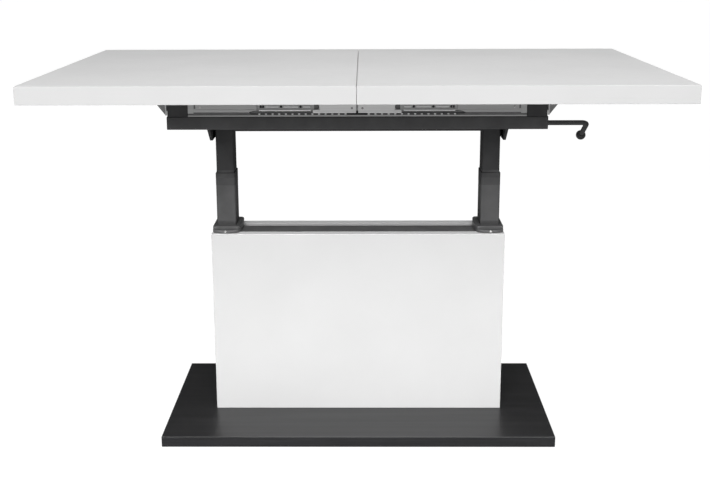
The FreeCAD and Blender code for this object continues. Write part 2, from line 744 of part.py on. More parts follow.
def gas_rod():
    """Rod and piston of the right gas spring, bored for its release pin."""
    piston_top = CYLINDER_TOP - CYLINDER_END - PISTON_DROP
    piston_low = piston_top - PISTON_HEIGHT
    rod = post(ROD_R, COLUMN_X, 0, piston_low, ROD_TOP)
    piston = post(CYLINDER_R - CYLINDER_WALL - ROD_CLEAR, COLUMN_X, 0, piston_low, piston_top)
    low = PIN_TOP - PIN_LENGTH - PIN_ROOM
    return rod.fuse(piston).removeSplitter().cut(post(PIN_R + RUN_CLEAR, COLUMN_X, 0, low, ROD_TOP))


def spring_seat():
    """Plate across the upper stage that the rod is bolted to."""
    w, d = UPPER_W - 2 * STAGE_WALL, UPPER_D - 2 * STAGE_WALL
    plate = rounded_post(COLUMN_X, w, d, SEAT_TOP - SEAT_THICK, SEAT_TOP, STAGE_ROUND - STAGE_WALL)
    return plate.cut(post(ROD_R, COLUMN_X, 0, SEAT_TOP - SEAT_THICK, SEAT_TOP))


def rod_nut():
    r = NUT_FLATS / math.sqrt(3)
    corners = [math.radians(60 * k) for k in range(6)]
    outline = [vec(COLUMN_X + r * math.cos(a), r * math.sin(a), SEAT_TOP) for a in corners]
    return prism(outline, vec(0, 0, NUT_HEIGHT)).cut(post(ROD_R, COLUMN_X, 0, SEAT_TOP, ROD_TOP))


def release_pin():
    pin = post(PIN_R, COLUMN_X, 0, PIN_TOP - PIN_LENGTH, PIN_TOP)
    rim = [e for e in pin.Edges if min(v.Z for v in e.Vertexes) > PIN_TOP - PIN_R]
    return pin.makeFillet(PIN_R * 0.6, rim)


def release_path():
    """Corner points of the bent shaft: left end, elbow and knob."""
    left = vec(SHAFT_END - COLUMN_X - UPPER_W / 2 + STAGE_WALL, SHAFT_Y, SHAFT_Z)
    elbow = vec(SHAFT_REACH, SHAFT_Y, SHAFT_Z)
    knob = elbow + vec(0, ARM_BACK, -ARM_DROP)
    return left, elbow, knob


def release_shaft():
    """Round bar through both column heads, bent into a crank at its right end."""
    left, elbow, knob = release_path()
    arm = knob - elbow
    arm.normalize()
    start = elbow - ALONG * ARM_BEND
    end = elbow + arm * ARM_BEND
    middle = elbow + (arm - ALONG) * (ARM_BEND * (1 - math.sqrt(0.5)))
    path = Part.Wire([
        Part.makeLine(left, start),
        Part.Arc(start, middle, end).toShape(),
        Part.makeLine(end, knob),
    ])
    profile = Part.Wire([Part.makeCircle(SHAFT_R, left, ALONG)])
    return path.makePipeShell([profile], True, False)


def knob(shaft):
    """Ball on the end of the crank, bored for it."""
    return Part.makeSphere(BALL_KNOB_R, release_path()[2]).cut(shaft)


def release_finger():
    """Finger on the shaft that presses the right gas spring's pin."""
    x0 = COLUMN_X - FINGER_WIDTH / 2
    hub = bar_along_x(HUB_R, x0, x0 + FINGER_WIDTH, SHAFT_Y, SHAFT_Z)
    low = PIN_TOP + FINGER_GAP
    finger = block(x0, x0 + FINGER_WIDTH, SHAFT_Y - FINGER_REACH, SHAFT_Y, low, SHAFT_Z)
    both = hub.fuse(finger).removeSplitter()
    return both.cut(bar_along_x(SHAFT_R, x0, x0 + FINGER_WIDTH, SHAFT_Y, SHAFT_Z))


def shaft_bush(x):
    """Plain bush in a wall of a column head, centred on the wall."""
    half = BUSH_LENGTH / 2
    ring = bar_along_x(BUSH_R, x - half, x + half, SHAFT_Y, SHAFT_Z)
    return ring.cut(bar_along_x(SHAFT_R + RUN_CLEAR, x - half, x + half, SHAFT_Y, SHAFT_Z))


def build_release():
    both_ends("gas_cylinders", gas_cylinder())
    both_ends("gas_rods", gas_rod())
    both_ends("spring_seats", spring_seat())
    both_ends("rod_nuts", rod_nut())
    pair("release_pin", release_pin())
    shaft = release_shaft()
    save("release_shaft", shaft)
    save("release_knob", knob(shaft))
    both_ends("release_fingers", release_finger())
    wall = UPPER_W / 2 - STAGE_WALL / 2
    places = (-COLUMN_X + wall, COLUMN_X - wall, COLUMN_X + wall)
    save("shaft_bushes", *[shaft_bush(x) for x in places])


def main():
    os.makedirs("parts", exist_ok=True)
    build_tabletop()
    build_frame()
    build_slides()
    build_columns()
    build_pedestal()
    build_release()


main()
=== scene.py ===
import json
import logging
import math
from dataclasses import dataclass, field
from enum import Enum
from typing import Iterable, Sequence

import bmesh
import bpy
from mathutils import Matrix, Vector


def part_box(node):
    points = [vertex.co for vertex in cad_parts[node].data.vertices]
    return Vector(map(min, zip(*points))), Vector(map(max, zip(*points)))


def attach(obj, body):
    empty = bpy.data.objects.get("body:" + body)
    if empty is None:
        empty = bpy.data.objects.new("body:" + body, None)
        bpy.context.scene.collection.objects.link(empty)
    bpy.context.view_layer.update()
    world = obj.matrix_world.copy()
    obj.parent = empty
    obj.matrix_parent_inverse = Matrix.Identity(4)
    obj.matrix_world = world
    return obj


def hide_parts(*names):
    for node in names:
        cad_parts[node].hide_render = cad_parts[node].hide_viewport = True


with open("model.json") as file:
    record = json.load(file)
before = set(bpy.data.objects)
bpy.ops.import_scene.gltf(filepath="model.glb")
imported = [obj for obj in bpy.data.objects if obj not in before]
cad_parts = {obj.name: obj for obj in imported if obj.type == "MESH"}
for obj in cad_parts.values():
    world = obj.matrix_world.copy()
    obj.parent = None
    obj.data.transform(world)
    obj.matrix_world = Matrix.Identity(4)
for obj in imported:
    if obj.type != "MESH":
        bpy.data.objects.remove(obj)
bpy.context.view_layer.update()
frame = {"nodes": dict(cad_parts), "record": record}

MM = 0.001
log = logging.getLogger("coffee_dining_table")

Point = tuple[float, float, float]
Colour = tuple[float, float, float]
Mesh = bmesh.types.BMesh
Vert = bmesh.types.BMVert
Line = bmesh.types.BMEdge
Face = bmesh.types.BMFace
Socket = bpy.types.NodeSocket

TO_FRONT = Vector((0, -1, 0))
WHITE = (1.0, 1.0, 1.0, 1.0)
ALIGNED = 0.999
LEVEL_MM = 1e-3
WELD_MM = 1e-4
HEAD_ROOT = 0.2
HEAD_DOME = ((1.0, 0.45), (0.95, 0.68), (0.83, 0.88), (0.66, 1.0))
HEXAGON_SHARE = 0.46
CROSS_REACH = 0.56
CROSS_HALF = 0.13
DRIVE_DEPTH = 0.55
RIPPLE_PACE = 0.7
RIPPLE_SWELL = 0.08
RIPPLE_BEAT = 2.4


class Place(Enum):
    """A side or an edge of the table."""

    @property
    def word(self) -> str:
        """Return the name that stands in the names of pieces."""
        return self.name.lower()


class Side(Place):
    """Which end of the table a piece belongs to."""

    LEFT = -1
    RIGHT = 1


class Edge(Place):
    """Which long edge of the table a piece belongs to."""

    FRONT = -1
    REAR = 1


class Recess(Enum):
    """Drive cut into a screw's head."""

    CROSS = "cross"
    HEXAGON = "hexagon"


class Axis(Enum):
    """Direction that a bar, tube or screw lies along."""

    X = Vector((1, 0, 0))
    Y = Vector((0, 1, 0))
    Z = Vector((0, 0, 1))


class Nodes:
    """Small helper that adds and wires shader nodes."""

    def __init__(self, tree: bpy.types.NodeTree) -> None:
        """Take over a tree and empty it."""
        self.tree = tree
        tree.nodes.clear()

    def add(self, kind: str, sockets: dict[str | int, object], **values: object) -> bpy.types.Node:
        """Add a node, set its attributes and fill its sockets.

        Args:
            kind: the node's type name.
            sockets: what each input gets, either a plain value or another node's output.
            values: attributes of the node to set.

        Returns:
            The new node.
        """
        node = self.tree.nodes.new(kind)
        for key, value in values.items():
            setattr(node, key, value)
        for key, value in sockets.items():
            if isinstance(value, Socket):
                self.tree.links.new(value, node.inputs[key])
            else:
                node.inputs[key].default_value = value
        return node

    def surface(self, sockets: dict[str, object]) -> None:
        """Add a principled surface and the material's output."""
        shader = self.add("ShaderNodeBsdfPrincipled", sockets)
        self.add("ShaderNodeOutputMaterial", {"Surface": shader.outputs["BSDF"]})

    def place(self, kind: str = "Object") -> Socket:
        """Return the coordinates of one kind."""
        return self.add("ShaderNodeTexCoord", {}).outputs[kind]

    def split(self, vector: Socket) -> Sequence[Socket]:
        """Return a vector's three parts."""
        return self.add("ShaderNodeSeparateXYZ", {"Vector": vector}).outputs

    def maths(self, operation: str, *values: Socket | float) -> Socket:
        """Return the result of one operation on numbers."""
        return self.add("ShaderNodeMath", dict(enumerate(values)), operation=operation).outputs["Value"]

    def noise(self, scale: float, detail: float = 3.0, stretch: Point = (1, 1, 1)) -> Socket:
        """Return a noise value on the object's coordinates.

        Args:
            scale: grains to the metre.
            detail: octaves of finer grain.
            stretch: factor along each axis.

        Returns:
            The noise factor.
        """
        mapped = self.add("ShaderNodeMapping", {"Vector": self.place(), "Scale": stretch}).outputs["Vector"]
        grain = {"Vector": mapped, "Scale": scale, "Detail": detail}
        return self.add("ShaderNodeTexNoise", grain).outputs["Fac"]

    def ramp(self, value: Socket, low: Colour, high: Colour, start: float = 0.3, end: float = 0.7) -> Socket:
        """Return a colour that runs with a value.

        Args:
            value: factor that drives the ramp.
            low: colour at the start.
            high: colour at the end.
            start: factor where the low colour ends.
            end: factor where the high colour starts.

        Returns:
            The colour.
        """
        node = self.add("ShaderNodeValToRGB", {"Fac": value})
        stops = node.color_ramp.elements
        stops[0].position, stops[1].position = start, end
        stops[0].color, stops[1].color = (*low, 1.0), (*high, 1.0)
        return node.outputs["Color"]

    def spread(self, value: Socket, low: float, high: float, start: float = 0.3, end: float = 0.7) -> Socket:
        """Return a value remapped from one reach to another.

        Args:
            value: number to remap, such as a noise factor.
            low: result at the start.
            high: result at the end.
            start: lower limit of the value, for a noise its usual one.
            end: upper limit of the value.

        Returns:
            The remapped value.
        """
        reach = {"Value": value, "From Min": start, "From Max": end, "To Min": low, "To Max": high}
        return self.add("ShaderNodeMapRange", reach).outputs["Result"]

    def relief(self, height: Socket, depth_mm: float, strength: float, under: Socket | None = None) -> Socket:
        """Return a normal with fine relief in it.

        Args:
            height: factor that gives the relief.
            depth_mm: how deep the relief is.
            strength: how much of it shows.
            under: normal that this relief lies over.

        Returns:
            The bumped normal.
        """
        sockets = {"Height": height, "Distance": depth_mm * MM, "Strength": strength}
        if under is not None:
            sockets["Normal"] = under
        return self.add("ShaderNodeBump", sockets).outputs["Normal"]


@dataclass(frozen=True)
class Finish:
    """A named surface of the table and the record's slot that it belongs to."""

    name: str
    slot: str
    colour: Colour
    roughness: float

    def material(self) -> bpy.types.Material:
        """Return the finish's material, made on its first use.

        Returns:
            The material.
        """
        made = bpy.data.materials.get(self.name)
        if made is None:
            made = bpy.data.materials.new(self.name)
            made.use_nodes = True
            nodes = Nodes(made.node_tree)
            nodes.surface(self.wire(nodes))
        return made

    def shades(self, low: float, high: float) -> tuple[Colour, Colour]:
        """Return a darker and a lighter tone of the finish's colour."""
        return tuple(tuple(min(1.0, c * factor) for c in self.colour) for factor in (low, high))

    def gloss(self, nodes: Nodes, value: Socket, less: float, more: float) -> Socket:
        """Return the finish's roughness, uneven by a value."""
        return nodes.spread(value, self.roughness - less, self.roughness + more)

    def wire(self, nodes: Nodes) -> dict[str, object]:
        """Return what each socket of the surface gets.

        Args:
            nodes: the material's nodes.

        Returns:
            Values and outputs by the names of the sockets.
        """
        raise NotImplementedError


@dataclass(frozen=True)
class Laminate(Finish):
    """Melamine board face: even colour under a fine pearl texture."""

    pearl: float = 0.05
    sheen: float = 0.04

    def wire(self, nodes: Nodes) -> dict[str, object]:
        """Return a soft cloud in the colour and a fine pearl in the relief.

        Args:
            nodes: the material's nodes.

        Returns:
            Values and outputs by the names of the sockets.
        """
        cloud, grit = nodes.noise(scale=7.0, detail=4.0), nodes.noise(scale=700.0, detail=2.0)
        return {"Base Color": nodes.ramp(cloud, *self.shades(low=0.975, high=1.015)),
                "Roughness": self.gloss(nodes, nodes.noise(scale=60.0, detail=5.0), less=0.04, more=0.04),
                "Normal": nodes.relief(grit, depth_mm=0.05, strength=self.pearl),
                "Specular IOR Level": self.sheen}


@dataclass(frozen=True)
class GrainedLaminate(Finish):
    """Dark board face with a fine grain that runs along the table."""

    grain: float = 0.25
    sheen: float = 0.5
    pore_share: float = 0.65

    def wire(self, nodes: Nodes) -> dict[str, object]:
        """Return long grain lines in colour, gloss and relief.

        Args:
            nodes: the material's nodes.

        Returns:
            Values and outputs by the names of the sockets.
        """
        pores = nodes.noise(scale=1.0, detail=5.0, stretch=(14.0, 520.0, 520.0))
        broad = nodes.noise(scale=1.0, detail=3.0, stretch=(3.0, 70.0, 70.0))
        fine = nodes.maths("MULTIPLY", pores, self.pore_share)
        both = nodes.maths("MULTIPLY_ADD", broad, 1 - self.pore_share, fine)
        return {"Base Color": nodes.ramp(both, *self.shades(low=0.72, high=1.32), start=0.36, end=0.64),
                "Roughness": self.gloss(nodes, pores, less=0.07, more=0.07),
                "Normal": nodes.relief(pores, depth_mm=0.08, strength=self.grain),
                "Specular IOR Level": self.sheen}


@dataclass(frozen=True)
class PowderCoat(Finish):
    """Baked powder paint on steel: an even tone under a fine orange peel."""

    peel: float = 0.16
    sheen: float = 0.05
    grit_share: float = 0.6

    def wire(self, nodes: Nodes) -> dict[str, object]:
        """Return the paint's peel and its slight unevenness.

        Args:
            nodes: the material's nodes.

        Returns:
            Values and outputs by the names of the sockets.
        """
        cloud, grit = nodes.noise(scale=24.0, detail=4.0), nodes.noise(scale=2600.0, detail=1.0)
        soft = nodes.relief(nodes.noise(scale=950.0, detail=2.0), depth_mm=0.09, strength=self.peel)
        return {"Base Color": nodes.ramp(cloud, *self.shades(low=0.88, high=1.12)),
                "Roughness": self.gloss(nodes, cloud, less=0.05, more=0.05),
                "Normal": nodes.relief(grit, depth_mm=0.03, strength=self.peel * self.grit_share, under=soft),
                "Specular IOR Level": self.sheen}


@dataclass(frozen=True)
class DrawnAluminium(Finish):
    """Extruded aluminium with die lines along its length."""

    lines: float = 0.22

    def wire(self, nodes: Nodes) -> dict[str, object]:
        """Return die lines along the table in tone, gloss and relief.

        Args:
            nodes: the material's nodes.

        Returns:
            Values and outputs by the names of the sockets.
        """
        fine = nodes.noise(scale=1.0, detail=4.0, stretch=(3.0, 1500.0, 1500.0))
        broad = nodes.noise(scale=1.0, detail=2.0, stretch=(1.5, 160.0, 160.0))
        return {"Base Color": nodes.ramp(broad, *self.shades(low=0.86, high=1.08)),
                "Roughness": self.gloss(nodes, fine, less=0.1, more=0.1),
                "Normal": nodes.relief(fine, depth_mm=0.03, strength=self.lines),
                "Metallic": 1.0}


@dataclass(frozen=True)
class MouldedPlastic(Finish):
    """Moulded plastic with a spark-eroded skin."""

    skin: float = 0.2
    sheen: float = 0.25

    def wire(self, nodes: Nodes) -> dict[str, object]:
        """Return the eroded skin and a faint unevenness of handling.

        Args:
            nodes: the material's nodes.

        Returns:
            Values and outputs by the names of the sockets.
        """
        cloud, grit = nodes.noise(scale=45.0, detail=3.0), nodes.noise(scale=2200.0, detail=2.0)
        return {"Base Color": nodes.ramp(cloud, *self.shades(low=0.85, high=1.2)),
                "Roughness": self.gloss(nodes, cloud, less=0.06, more=0.06),
                "Normal": nodes.relief(grit, depth_mm=0.04, strength=self.skin),
                "Specular IOR Level": self.sheen}


@dataclass(frozen=True)
class PlatedSteel(Finish):
    """Zinc-plated or ground steel with a cloudy brightness."""

    cloud: float = 0.12

    def wire(self, nodes: Nodes) -> dict[str, object]:
        """Return the plating's clouds and turning marks.

        Args:
            nodes: the material's nodes.

        Returns:
            Values and outputs by the names of the sockets.
        """
        cloud, marks = nodes.noise(scale=160.0, detail=4.0), nodes.noise(scale=1900.0, detail=2.0)
        return {"Base Color": nodes.ramp(cloud, *self.shades(low=0.8, high=1.1)),
                "Roughness": self.gloss(nodes, cloud, less=0.08, more=0.1),
                "Normal": nodes.relief(marks, depth_mm=0.02, strength=self.cloud),
                "Metallic": 1.0}


@dataclass(frozen=True)
class Beech(Finish):
    """Turned beech with short dark flecks along its grain."""

    fleck: float = 0.3

    def wire(self, nodes: Nodes) -> dict[str, object]:
        """Return the flecks, which are duller than the wood round them.

        Args:
            nodes: the material's nodes.

        Returns:
            Values and outputs by the names of the sockets.
        """
        flecks = nodes.noise(scale=1.0, detail=4.0, stretch=(160.0, 2400.0, 2400.0))
        return {"Base Color": nodes.ramp(flecks, *self.shades(low=0.62, high=1.06), start=0.34, end=0.52),
                "Roughness": self.gloss(nodes, flecks, less=-0.1, more=0.0),
                "Normal": nodes.relief(flecks, depth_mm=0.05, strength=self.fleck)}


@dataclass(frozen=True)
class Felt(Finish):
    """Pressed felt of the floor glides."""

    nap: float = 0.7

    def wire(self, nodes: Nodes) -> dict[str, object]:
        """Return the felt's matted fibres.

        Args:
            nodes: the material's nodes.

        Returns:
            Values and outputs by the names of the sockets.
        """
        fibres = nodes.noise(scale=1300.0, detail=6.0)
        return {"Base Color": nodes.ramp(fibres, *self.shades(low=0.55, high=1.3)),
                "Roughness": self.gloss(nodes, fibres, less=0.0, more=0.08),
                "Normal": nodes.relief(fibres, depth_mm=0.3, strength=self.nap)}


WHITE_FACE = Laminate("white_laminate", "white_board", (0.70, 0.70, 0.70), 0.42)
# The box panels and end covers take a darker copy of the white laminate: painted shade on their upright
# faces.
SHADED_BOX_FACE = Laminate("box_white_laminate", "white_board", (0.565, 0.565, 0.565), 0.42)
# The box panels' top band is a lighter copy of the white laminate: painted light on the strip that lies in
# the top's shade.
LIT_BOX_BAND = Laminate("box_edge_band", "white_board", (0.92, 0.92, 0.92), 0.40, 0.03)
# The tabletop's edge band is a darker copy of the white laminate: painted shade on its upright faces.
SHADED_WHITE_BAND = Laminate("white_edge_band", "white_board", (0.638, 0.638, 0.638), 0.36, 0.03)
DARK_FACE = GrainedLaminate("dark_grained_laminate", "dark_board", (0.030, 0.030, 0.031), 0.36, sheen=0.37)
# A lighter copy of the dark board for the plate's eased top edge: a painted highlight along the arris.
HIGHLIGHT_ARRIS = GrainedLaminate("dark_edge_painted_highlight", "dark_board", (0.060, 0.060, 0.061), 0.40)
# A darker copy of the dark board for the plate's upright edge band: painted shade.
SHADED_DARK_BAND = GrainedLaminate("dark_edge_band", "dark_board", (0.013, 0.013, 0.014), 0.5, 0.15, 0.15)
FRAME_STEEL = PowderCoat("frame_powder_coat", "dark_steel", (0.060, 0.060, 0.061), 0.55, sheen=0.0)
DARK_STEEL = PowderCoat("dark_powder_coat", "dark_steel", (0.045, 0.045, 0.046), 0.55, sheen=0.0)
STAGE_STEEL = PowderCoat("satin_stage_coat", "dark_steel", (0.085, 0.085, 0.086), 0.55, 0.12, 0.0)
# A darker copy of the stage coat for the band at the middle stage's top: painted shade.
SHADE_BAND_STEEL = PowderCoat("stage_band_painted_shade", "dark_steel", (0.068, 0.068, 0.069), 0.55, 0.12, 0.0)
TRIM_STEEL = PowderCoat("mouth_trim_coat", "dark_steel", (0.15, 0.15, 0.151), 0.55, sheen=0.0)
# A darker copy of the frame's coat for the upstands: painted shade under the top's overhang.
SHADED_HORN_STEEL = PowderCoat("upstand_coat_painted_shade", "dark_steel", (0.047, 0.047, 0.048), 0.55, sheen=0.0)
DARK_SEAM = PowderCoat("coated_weld", "dark_steel", (0.050, 0.050, 0.051), 0.5, 0.3)
ALUMINIUM = DrawnAluminium("drawn_aluminium", "aluminium", (0.58, 0.58, 0.58), 0.42)
# A darker copy of the drawn aluminium for the rails and the strips beside the upstands: painted shade in the
# gap under the top.
SHADED_ALUMINIUM = DrawnAluminium("aluminium_painted_shade", "aluminium", (0.44, 0.44, 0.44), 0.45)
# A darker copy of the drawn aluminium for the runners' raked end caps: painted shade.
SHADED_CAP_ALUMINIUM = DrawnAluminium("end_cap_aluminium_painted_shade", "aluminium", (0.26, 0.26, 0.26), 0.5)
# A lighter copy of the drawn aluminium: painted reflection on the centre plates and a painted highlight along
# the cage ribs.
LIT_ALUMINIUM = DrawnAluminium("aluminium_painted_light", "aluminium", (0.74, 0.74, 0.74), 0.40, 0.12)
# A near-white copy of the drawn aluminium for the plates' beads and the runners' lips: painted highlight
# lines.
HIGHLIGHT_ALUMINIUM = DrawnAluminium("bright_aluminium", "aluminium", (0.95, 0.95, 0.95), 0.36, 0.10)
BLACK_PLASTIC = MouldedPlastic("black_moulding", "black_plastic", (0.022, 0.022, 0.023), 0.52)
# Painted shade: this moulding darkens the strips under the runners and before the racks, and the slots in the
# covers; on the cage noses it is also the noses' own dark.
SHADE_PLASTIC = MouldedPlastic("moulding_painted_shade", "black_plastic", (0.115, 0.115, 0.116), 0.55)
GREY_PLASTIC = MouldedPlastic("grey_moulding", "black_plastic", (0.060, 0.060, 0.061), 0.55, sheen=0.0)
COLLAR_PLASTIC = MouldedPlastic("collar_moulding", "black_plastic", (0.100, 0.100, 0.101), 0.5, sheen=0.4)
# Painted light: pale pads that stand in for the light seen between the rack's teeth.
LIT_PLASTIC = MouldedPlastic("moulding_painted_light", "black_plastic", (0.75, 0.75, 0.75), 0.5)
CAGE_STEEL = PlatedSteel("satin_cage_steel", "bright_steel", (0.39, 0.39, 0.39), 0.42)
BRIGHT_STEEL = PlatedSteel("plated_steel", "bright_steel", (0.56, 0.56, 0.55), 0.32)
BLACK_STEEL = PlatedSteel("black_oxide_steel", "dark_steel", (0.05, 0.05, 0.052), 0.42)
BLACK_CYLINDER = PowderCoat("black_cylinder_paint", "black_cylinder", (0.012, 0.012, 0.012), 0.28, 0.06, 0.5)
BEECH_WOOD = Beech("beech", "beech", (0.52, 0.34, 0.19), 0.5)
GLIDE_FELT = Felt("glide_felt", "felt_glide", (0.05, 0.05, 0.05), 0.88)

CARRIED_OVER: dict[str, Finish] = {
    "white_board": WHITE_FACE, "dark_board": DARK_FACE, "dark_steel": DARK_STEEL, "aluminium": ALUMINIUM,
    "black_plastic": BLACK_PLASTIC, "felt_glide": GLIDE_FELT, "bright_steel": BRIGHT_STEEL,
    "black_cylinder": BLACK_CYLINDER, "beech": BEECH_WOOD,
}


@dataclass(frozen=True)
class Extent:
    """The box that one or more nodes of the frame fill, in millimetres."""

    low: Vector
    high: Vector

    @classmethod
    def of(cls, *nodes: str) -> "Extent":
        """Return the box round the named nodes.

        Args:
            nodes: names of nodes of the frame.

        Returns:
            The box.
        """
        boxes = [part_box(node) for node in nodes]
        low = Vector([min(b[0][k] for b in boxes) for k in range(3)]) / MM
        high = Vector([max(b[1][k] for b in boxes) for k in range(3)]) / MM
        return cls(low, high)

    @property
    def size(self) -> Vector:
        """Length, depth and height of the box."""
        return self.high - self.low

    @property
    def centre(self) -> Vector:
        """Middle of the box."""
        return (self.high + self.low) / 2


def only(geom: Iterable[object], kind: type) -> list:
    """Return the parts of an operator's result that are of one kind."""
    return [part for part in geom if isinstance(part, kind)]


def edges_along(shape: Mesh, along: Axis) -> list[Line]:
    """Return the shape's edges that run along an axis."""
    runs = [(e, (e.verts[1].co - e.verts[0].co).normalized()) for e in shape.edges]
    return [e for e, run in runs if abs(run.dot(along.value)) > ALIGNED]


def edges_at(shape: Mesh, height: float) -> list[Line]:
    """Return the shape's edges that lie level at a height."""
    return [e for e in shape.edges if all(abs(v.co.z - height) < LEVEL_MM for v in e.verts)]


def facing(shape: Mesh, direction: Vector) -> list[Face]:
    """Return the faces that look in a direction, the largest first.

    Args:
        shape: mesh to search.
        direction: way that the faces look.

    Returns:
        The faces.
    """
    shape.normal_update()
    found = [f for f in shape.faces if f.normal.dot(direction) > ALIGNED]
    return sorted(found, key=lambda f: -f.calc_area())


def ease(shape: Mesh, edges: Iterable[Line], size: float, steps: int = 2) -> None:
    """Round some edges of a shape.

    Args:
        shape: mesh to change.
        edges: edges to round.
        size: radius.
        steps: facets across the round.
    """
    bmesh.ops.bevel(shape, geom=list(edges), offset=size, offset_type="OFFSET", segments=steps, profile=0.5,
                    affect="EDGES", material=-1, clamp_overlap=True)


def push(shape: Mesh, faces: list[Face], run: Sequence[float]) -> list[Face]:
    """Extrude faces along a vector.

    Args:
        shape: mesh to change.
        faces: faces to push.
        run: the vector.

    Returns:
        The pushed faces.
    """
    grown = bmesh.ops.extrude_face_region(shape, geom=faces)["geom"]
    bmesh.ops.translate(shape, verts=only(grown, Vert), vec=Vector(run))
    return only(grown, Face)


def loop(shape: Mesh, points: Iterable[Sequence[float]]) -> list[Line]:
    """Draw a closed line through some points of a mesh."""
    verts = [shape.verts.new(point) for point in points]
    return [shape.edges.new(pair) for pair in zip(verts, verts[1:] + verts[:1])]


def sink(shape: Mesh, mouths: list[Line], run: Sequence[float]) -> None:
    """Cut blind hollows from the edges of their mouths.

    Args:
        shape: mesh to change.
        mouths: edges round the mouths.
        run: way and depth of the hollows.
    """
    grown = bmesh.ops.extrude_edge_only(shape, edges=mouths)["geom"]
    bmesh.ops.translate(shape, verts=only(grown, Vert), vec=Vector(run))
    bmesh.ops.edgeloop_fill(shape, edges=only(grown, Line))
    bmesh.ops.recalc_face_normals(shape, faces=shape.faces)


def block(low: Sequence[float], high: Sequence[float], size: float = 0.0, steps: int = 2,
          along: Axis | None = None) -> Mesh:
    """Return a box with rounded edges.

    Args:
        low: lowest corner.
        high: highest corner.
        size: radius of the edges.
        steps: facets across each round.
        along: axis of the edges to round, or None for all of them.

    Returns:
        The new mesh.
    """
    shape = bmesh.new()
    middle = (Vector(low) + Vector(high)) / 2
    reach = Vector(high) - Vector(low)
    bmesh.ops.create_cube(shape, size=1.0, matrix=Matrix.Translation(middle) @ Matrix.Diagonal((*reach, 1.0)))
    if size > 0.0:
        ease(shape, edges_along(shape, along) if along else shape.edges, size, steps)
    return shape


def tube(low: Sequence[float], high: Sequence[float], along: Axis, wall: float, corner: float,
         steps: int = 4) -> Mesh:
    """Return a rectangular tube, open at both ends.

    Args:
        low: lowest corner.
        high: highest corner.
        along: axis of the bore.
        wall: wall thickness.
        corner: radius of the long corners.
        steps: facets across each corner.

    Returns:
        The new mesh.
    """
    shape = block(low, high, corner, steps, along)
    ends = [facing(shape, along.value)[0], facing(shape, -along.value)[0]]
    bmesh.ops.inset_region(shape, faces=ends, thickness=wall, use_even_offset=True)
    rims = [e for f in ends for e in f.edges]
    bmesh.ops.delete(shape, geom=ends, context="FACES_ONLY")
    bmesh.ops.bridge_loops(shape, edges=rims)
    bmesh.ops.recalc_face_normals(shape, faces=shape.faces)
    return shape


def prism(outline: Sequence[Sequence[float]], run: Sequence[float], size: float = 0.0,
          steps: int = 2) -> Mesh:
    """Return a closed outline pushed along a vector.

    Args:
        outline: corner points in one plane.
        run: the vector.
        size: radius of every edge.
        steps: facets across each round.

    Returns:
        The new mesh.
    """
    shape = bmesh.new()
    push(shape, [shape.faces.new([shape.verts.new(p) for p in outline])], run)
    bmesh.ops.recalc_face_normals(shape, faces=shape.faces)
    if size > 0.0:
        ease(shape, shape.edges, size, steps)
    return shape


def lathe(profile: Sequence[tuple[float, float]], steps: int = 32) -> Mesh:
    """Return a profile turned about the upright axis.

    Args:
        profile: (radius, height) points.
        steps: facets round the turn.

    Returns:
        The new mesh.
    """
    shape = bmesh.new()
    points = [shape.verts.new((r, 0.0, h)) for r, h in profile]
    lines = [shape.edges.new(pair) for pair in zip(points, points[1:])]
    bmesh.ops.spin(shape, geom=points + lines, cent=(0, 0, 0), axis=(0, 0, 1), angle=math.tau, steps=steps,
                   use_merge=True)
    bmesh.ops.remove_doubles(shape, verts=shape.verts, dist=WELD_MM)
    bmesh.ops.recalc_face_normals(shape, faces=shape.faces)
    return shape


def drill(shape: Mesh, direction: Vector, places: Sequence[Sequence[float]], radius: float, depth: float,
          steps: int = 24) -> None:
    """Cut blind round holes in the largest face that looks in a direction.

    Args:
        shape: mesh to change.
        direction: way that the face looks.
        places: centres of the holes on the face.
        radius: radius of the holes.
        depth: depth of the holes.
        steps: facets round each hole.
    """
    face = facing(shape, direction)[0]
    rim = list(face.edges)
    bmesh.ops.delete(shape, geom=[face], context="FACES_ONLY")
    mouths: list[Line] = []
    for place in places:
        ring = bmesh.ops.create_circle(shape, segments=steps, radius=radius, cap_ends=False,
                                       matrix=turned(direction, place))["verts"]
        mouths += list({e for v in ring for e in v.link_edges})
    bmesh.ops.triangle_fill(shape, use_beauty=True, edges=rim + mouths, normal=direction)
    sink(shape, mouths, -direction * depth)


def drive_outline(recess: Recess, radius: float) -> list[tuple[float, float]]:
    """Return the outline of a screw's drive.

    Args:
        recess: kind of drive.
        radius: radius of the screw's head.

    Returns:
        The corners of the drive.
    """
    if recess is Recess.HEXAGON:
        turns = [k * math.pi / 3 for k in range(6)]
        return [(radius * HEXAGON_SHARE * math.cos(t), radius * HEXAGON_SHARE * math.sin(t)) for t in turns]
    arm, half = radius * CROSS_REACH, radius * CROSS_HALF
    quarter = [(arm, -half), (arm, half), (half, half)]
    return [(x * c - y * s, x * s + y * c) for c, s in ((1, 0), (0, 1), (-1, 0), (0, -1)) for x, y in quarter]


def screw_head(radius: float, height: float, recess: Recess) -> Mesh:
    """Return a domed screw head that stands on the origin with its drive upwards.

    Args:
        radius: radius of the head.
        height: height of the head.
        recess: drive cut into it.

    Returns:
        The new mesh.
    """
    shape = lathe([(radius, -HEAD_ROOT), *((radius * r, height * h) for r, h in HEAD_DOME)], steps=28)
    rim = edges_at(shape, height)
    mouth = loop(shape, [(x, y, height) for x, y in drive_outline(recess, radius)])
    bmesh.ops.triangle_fill(shape, use_beauty=True, edges=rim + mouth, normal=(0, 0, 1))
    sink(shape, mouth, (0, 0, -height * DRIVE_DEPTH))
    return shape


